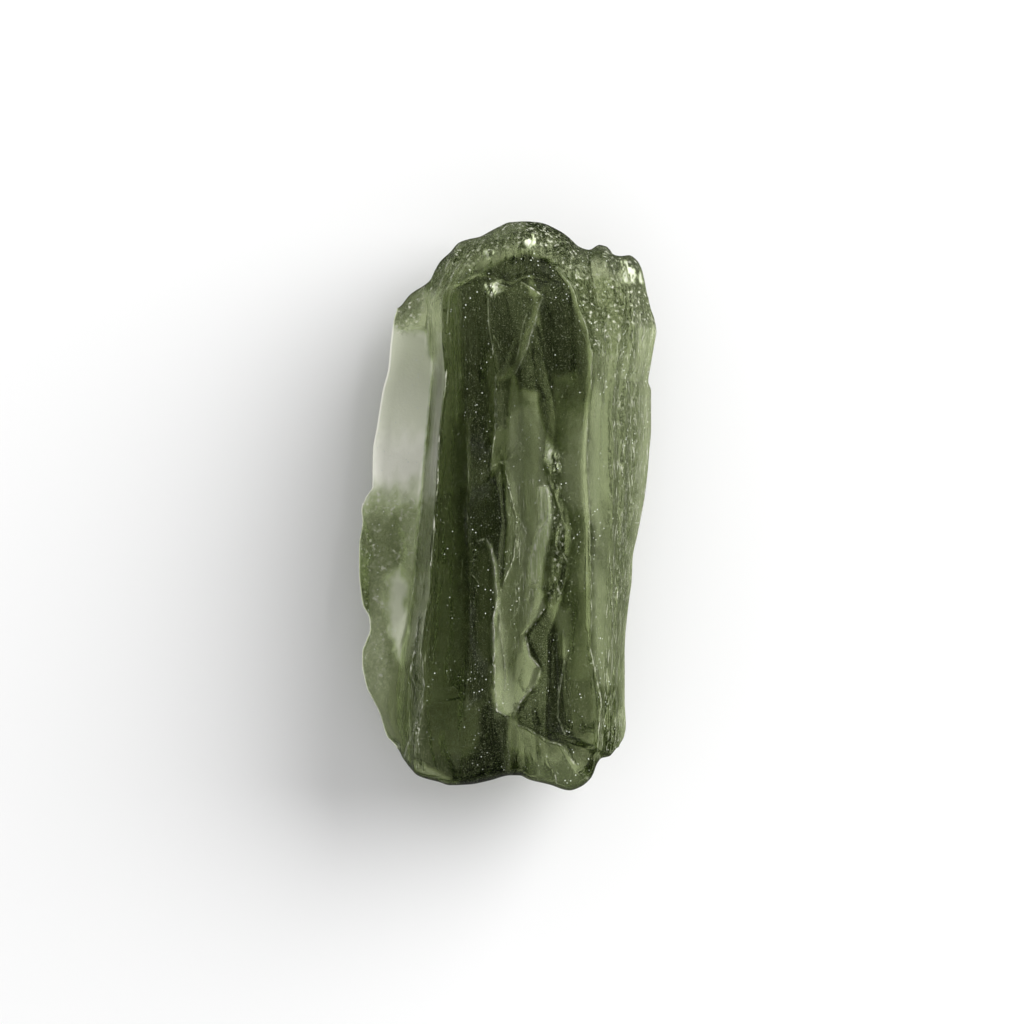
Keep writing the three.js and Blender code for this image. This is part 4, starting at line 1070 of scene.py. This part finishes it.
def glass_material():
    material = bpy.data.materials.new("bottle_green_glass")
    material.use_nodes = True
    tree = material.node_tree
    tree.nodes.clear()
    place = add_node(tree, "ShaderNodeTexCoord").outputs["Object"]
    crust = attribute(tree, "crust")
    striped = attribute(tree, "striped")
    # frost: etching, with painted light on the wing and painted highlights on edges and glints
    etched_and_lit = attribute(tree, "frost_and_light")
    pale, dark = surface_marks(tree, place, crust, striped)
    frost_and_light = calculated(tree, "MAXIMUM", etched_and_lit, pale)
    thickness = ranged(tree, etched_and_lit, 0, 1, THIN_TO_THICK)
    whiteness = calculated(tree, "MAXIMUM", thickness, ranged(tree, pale, 0, 1, MARK_TO_THICK))
    frost_and_light_colour = mixed(tree, whiteness, THIN_FROST_AND_LIGHT, THICK_FROST_AND_LIGHT, "RGBA")
    cover = ranged(tree, frost_and_light, 0, 1, (0, FROST_AND_LIGHT_COVER))
    colour_with_light_and_shade = mixed(tree, cover, tint_and_shade_colour(tree, dark), frost_and_light_colour, "RGBA")
    specks = pale_specks(tree, place)
    streaked = bumped(tree, place, FINE_STREAKS, striped)
    surface = {
        "Base Color": mixed(tree, specks, colour_with_light_and_shade, SPECK_COLOUR, "RGBA"),
        "Roughness": ranged(tree, crust, *ROUGHNESS),
        "Normal": bumped(tree, place, FINE_CRUMPLES, crust, streaked),
        "IOR": GLASS_IOR,
        "Transmission Weight": ranged(tree, calculated(tree, "MAXIMUM", frost_and_light, specks), 1, 0),
    }
    shader = add_node(tree, "ShaderNodeBsdfPrincipled", surface).outputs["BSDF"]
    depth = {"Color": ABSORPTION_COLOUR, "Density": ABSORPTION_DENSITY}
    absorption = add_node(tree, "ShaderNodeVolumeAbsorption", depth).outputs["Volume"]
    add_node(tree, "ShaderNodeOutputMaterial", {"Surface": shader, "Volume": absorption})
    return material


# Floor. Sizes and places below are in millimetres, and the floor lies a hair under the stone.
FLOOR_HALF = 2000
FLOOR_GAP = 0.02
FLOOR_COLOUR = (0.88, 0.88, 0.88, 1)
FLOOR_ROUGHNESS = 0.9
# Brightness of the studio at the horizon and overhead, and the same as the glass mirrors it, which
# falls to the second value at this height of the look
HORIZON_STRENGTH = 1.2
ZENITH_STRENGTH = 0.35
MIRROR_HORIZON = 0.6
MIRROR_ZENITH = 0.04
MIRROR_TOP = 0.08
# Large light on the right, by its place from the stone's middle
KEY_PLACE = (640, 400, 380)
KEY_SIZE = 900
KEY_POWER = 11.3
# Camera, and the width and the middle of the floor that the photo shows
CAMERA_LENS = 150
SENSOR = 36
CLIP_FACTOR = 10
PHOTO_WIDTH = 51.2
PHOTO_CENTRE = (0.225, -0.3)


def floor_plane():
    half = FLOOR_HALF * MM
    height = -FLOOR_GAP * MM
    mesh = bpy.data.meshes.new("floor")
    corners = [(-half, -half, height), (half, -half, height), (half, half, height), (-half, half, height)]
    mesh.from_pydata(corners, [], [(0, 1, 2, 3)])
    material = bpy.data.materials.new("pale_floor")
    material.use_nodes = True
    shader = material.node_tree.nodes["Principled BSDF"]
    shader.inputs["Base Color"].default_value = FLOOR_COLOUR
    shader.inputs["Roughness"].default_value = FLOOR_ROUGHNESS
    shader.inputs["Specular IOR Level"].default_value = 0
    mesh.materials.append(material)
    floor = linked("floor", mesh)
    floor.visible_glossy = False
    return floor


def key_light():
    """A large soft light for the floor and the frosted faces, which the glass neither mirrors nor shows."""
    data = bpy.data.lights.new("key", "AREA")
    data.shape = "DISK"
    data.size = KEY_SIZE * MM
    data.energy = KEY_POWER
    light = linked("key", data)
    light.location = [value * MM for value in KEY_PLACE]
    light.rotation_euler = light.location.to_track_quat("Z", "Y").to_euler()
    light.visible_glossy = False
    light.visible_transmission = False


def studio_world():
    """A pale studio, brighter towards the horizon. The glass mirrors only its lowest part, as if
    the ceiling over the stone were dark."""
    world = bpy.data.worlds.new("studio")
    world.use_nodes = True
    tree = world.node_tree
    direction = add_node(tree, "ShaderNodeTexCoord").outputs["Generated"]
    upward = add_node(tree, "ShaderNodeSeparateXYZ", {"Vector": direction}).outputs["Z"]
    shining = ranged(tree, upward, HORIZON_STRENGTH, ZENITH_STRENGTH)
    mirrored = ranged(tree, absolute(tree, upward), MIRROR_HORIZON, MIRROR_ZENITH, (0, MIRROR_TOP))
    ray = add_node(tree, "ShaderNodeLightPath").outputs
    is_mirrored = calculated(tree, "MULTIPLY", ray["Is Glossy Ray"], ray["Is Reflection Ray"])
    strength = mixed(tree, is_mirrored, shining, mirrored)
    background = tree.nodes["Background"]
    background.inputs["Color"].default_value = (1, 1, 1, 1)
    tree.links.new(strength, background.inputs["Strength"])
    bpy.context.scene.world = world


def camera_above():
    """Looks straight down, from as far as makes the photo's width of floor fill the frame."""
    data = bpy.data.cameras.new("camera")
    data.lens = CAMERA_LENS
    data.sensor_width = SENSOR
    distance = PHOTO_WIDTH * MM * CAMERA_LENS / SENSOR
    middle = (node_low.z + node_high.z) / 2
    data.clip_start = distance / CLIP_FACTOR
    data.clip_end = distance * CLIP_FACTOR
    camera = linked("camera", data)
    camera.location = (PHOTO_CENTRE[0] * MM, PHOTO_CENTRE[1] * MM, middle + distance)
    bpy.context.scene.camera = camera


def render_look():
    scene = bpy.context.scene
    scene.view_settings.view_transform = "Standard"
    scene.cycles.use_denoising = True
    scene.cycles.max_bounces = 12
    scene.cycles.transmission_bounces = 12
    scene.cycles.glossy_bounces = 8
    scene.cycles.diffuse_bounces = 4
    scene.cycles.sample_clamp_indirect = 6


stone = stone_skin()
stone.data.materials.append(glass_material())
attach(stone, "root")
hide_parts(NODE)
floor_plane()
studio_world()
key_light()
camera_above()
render_look()
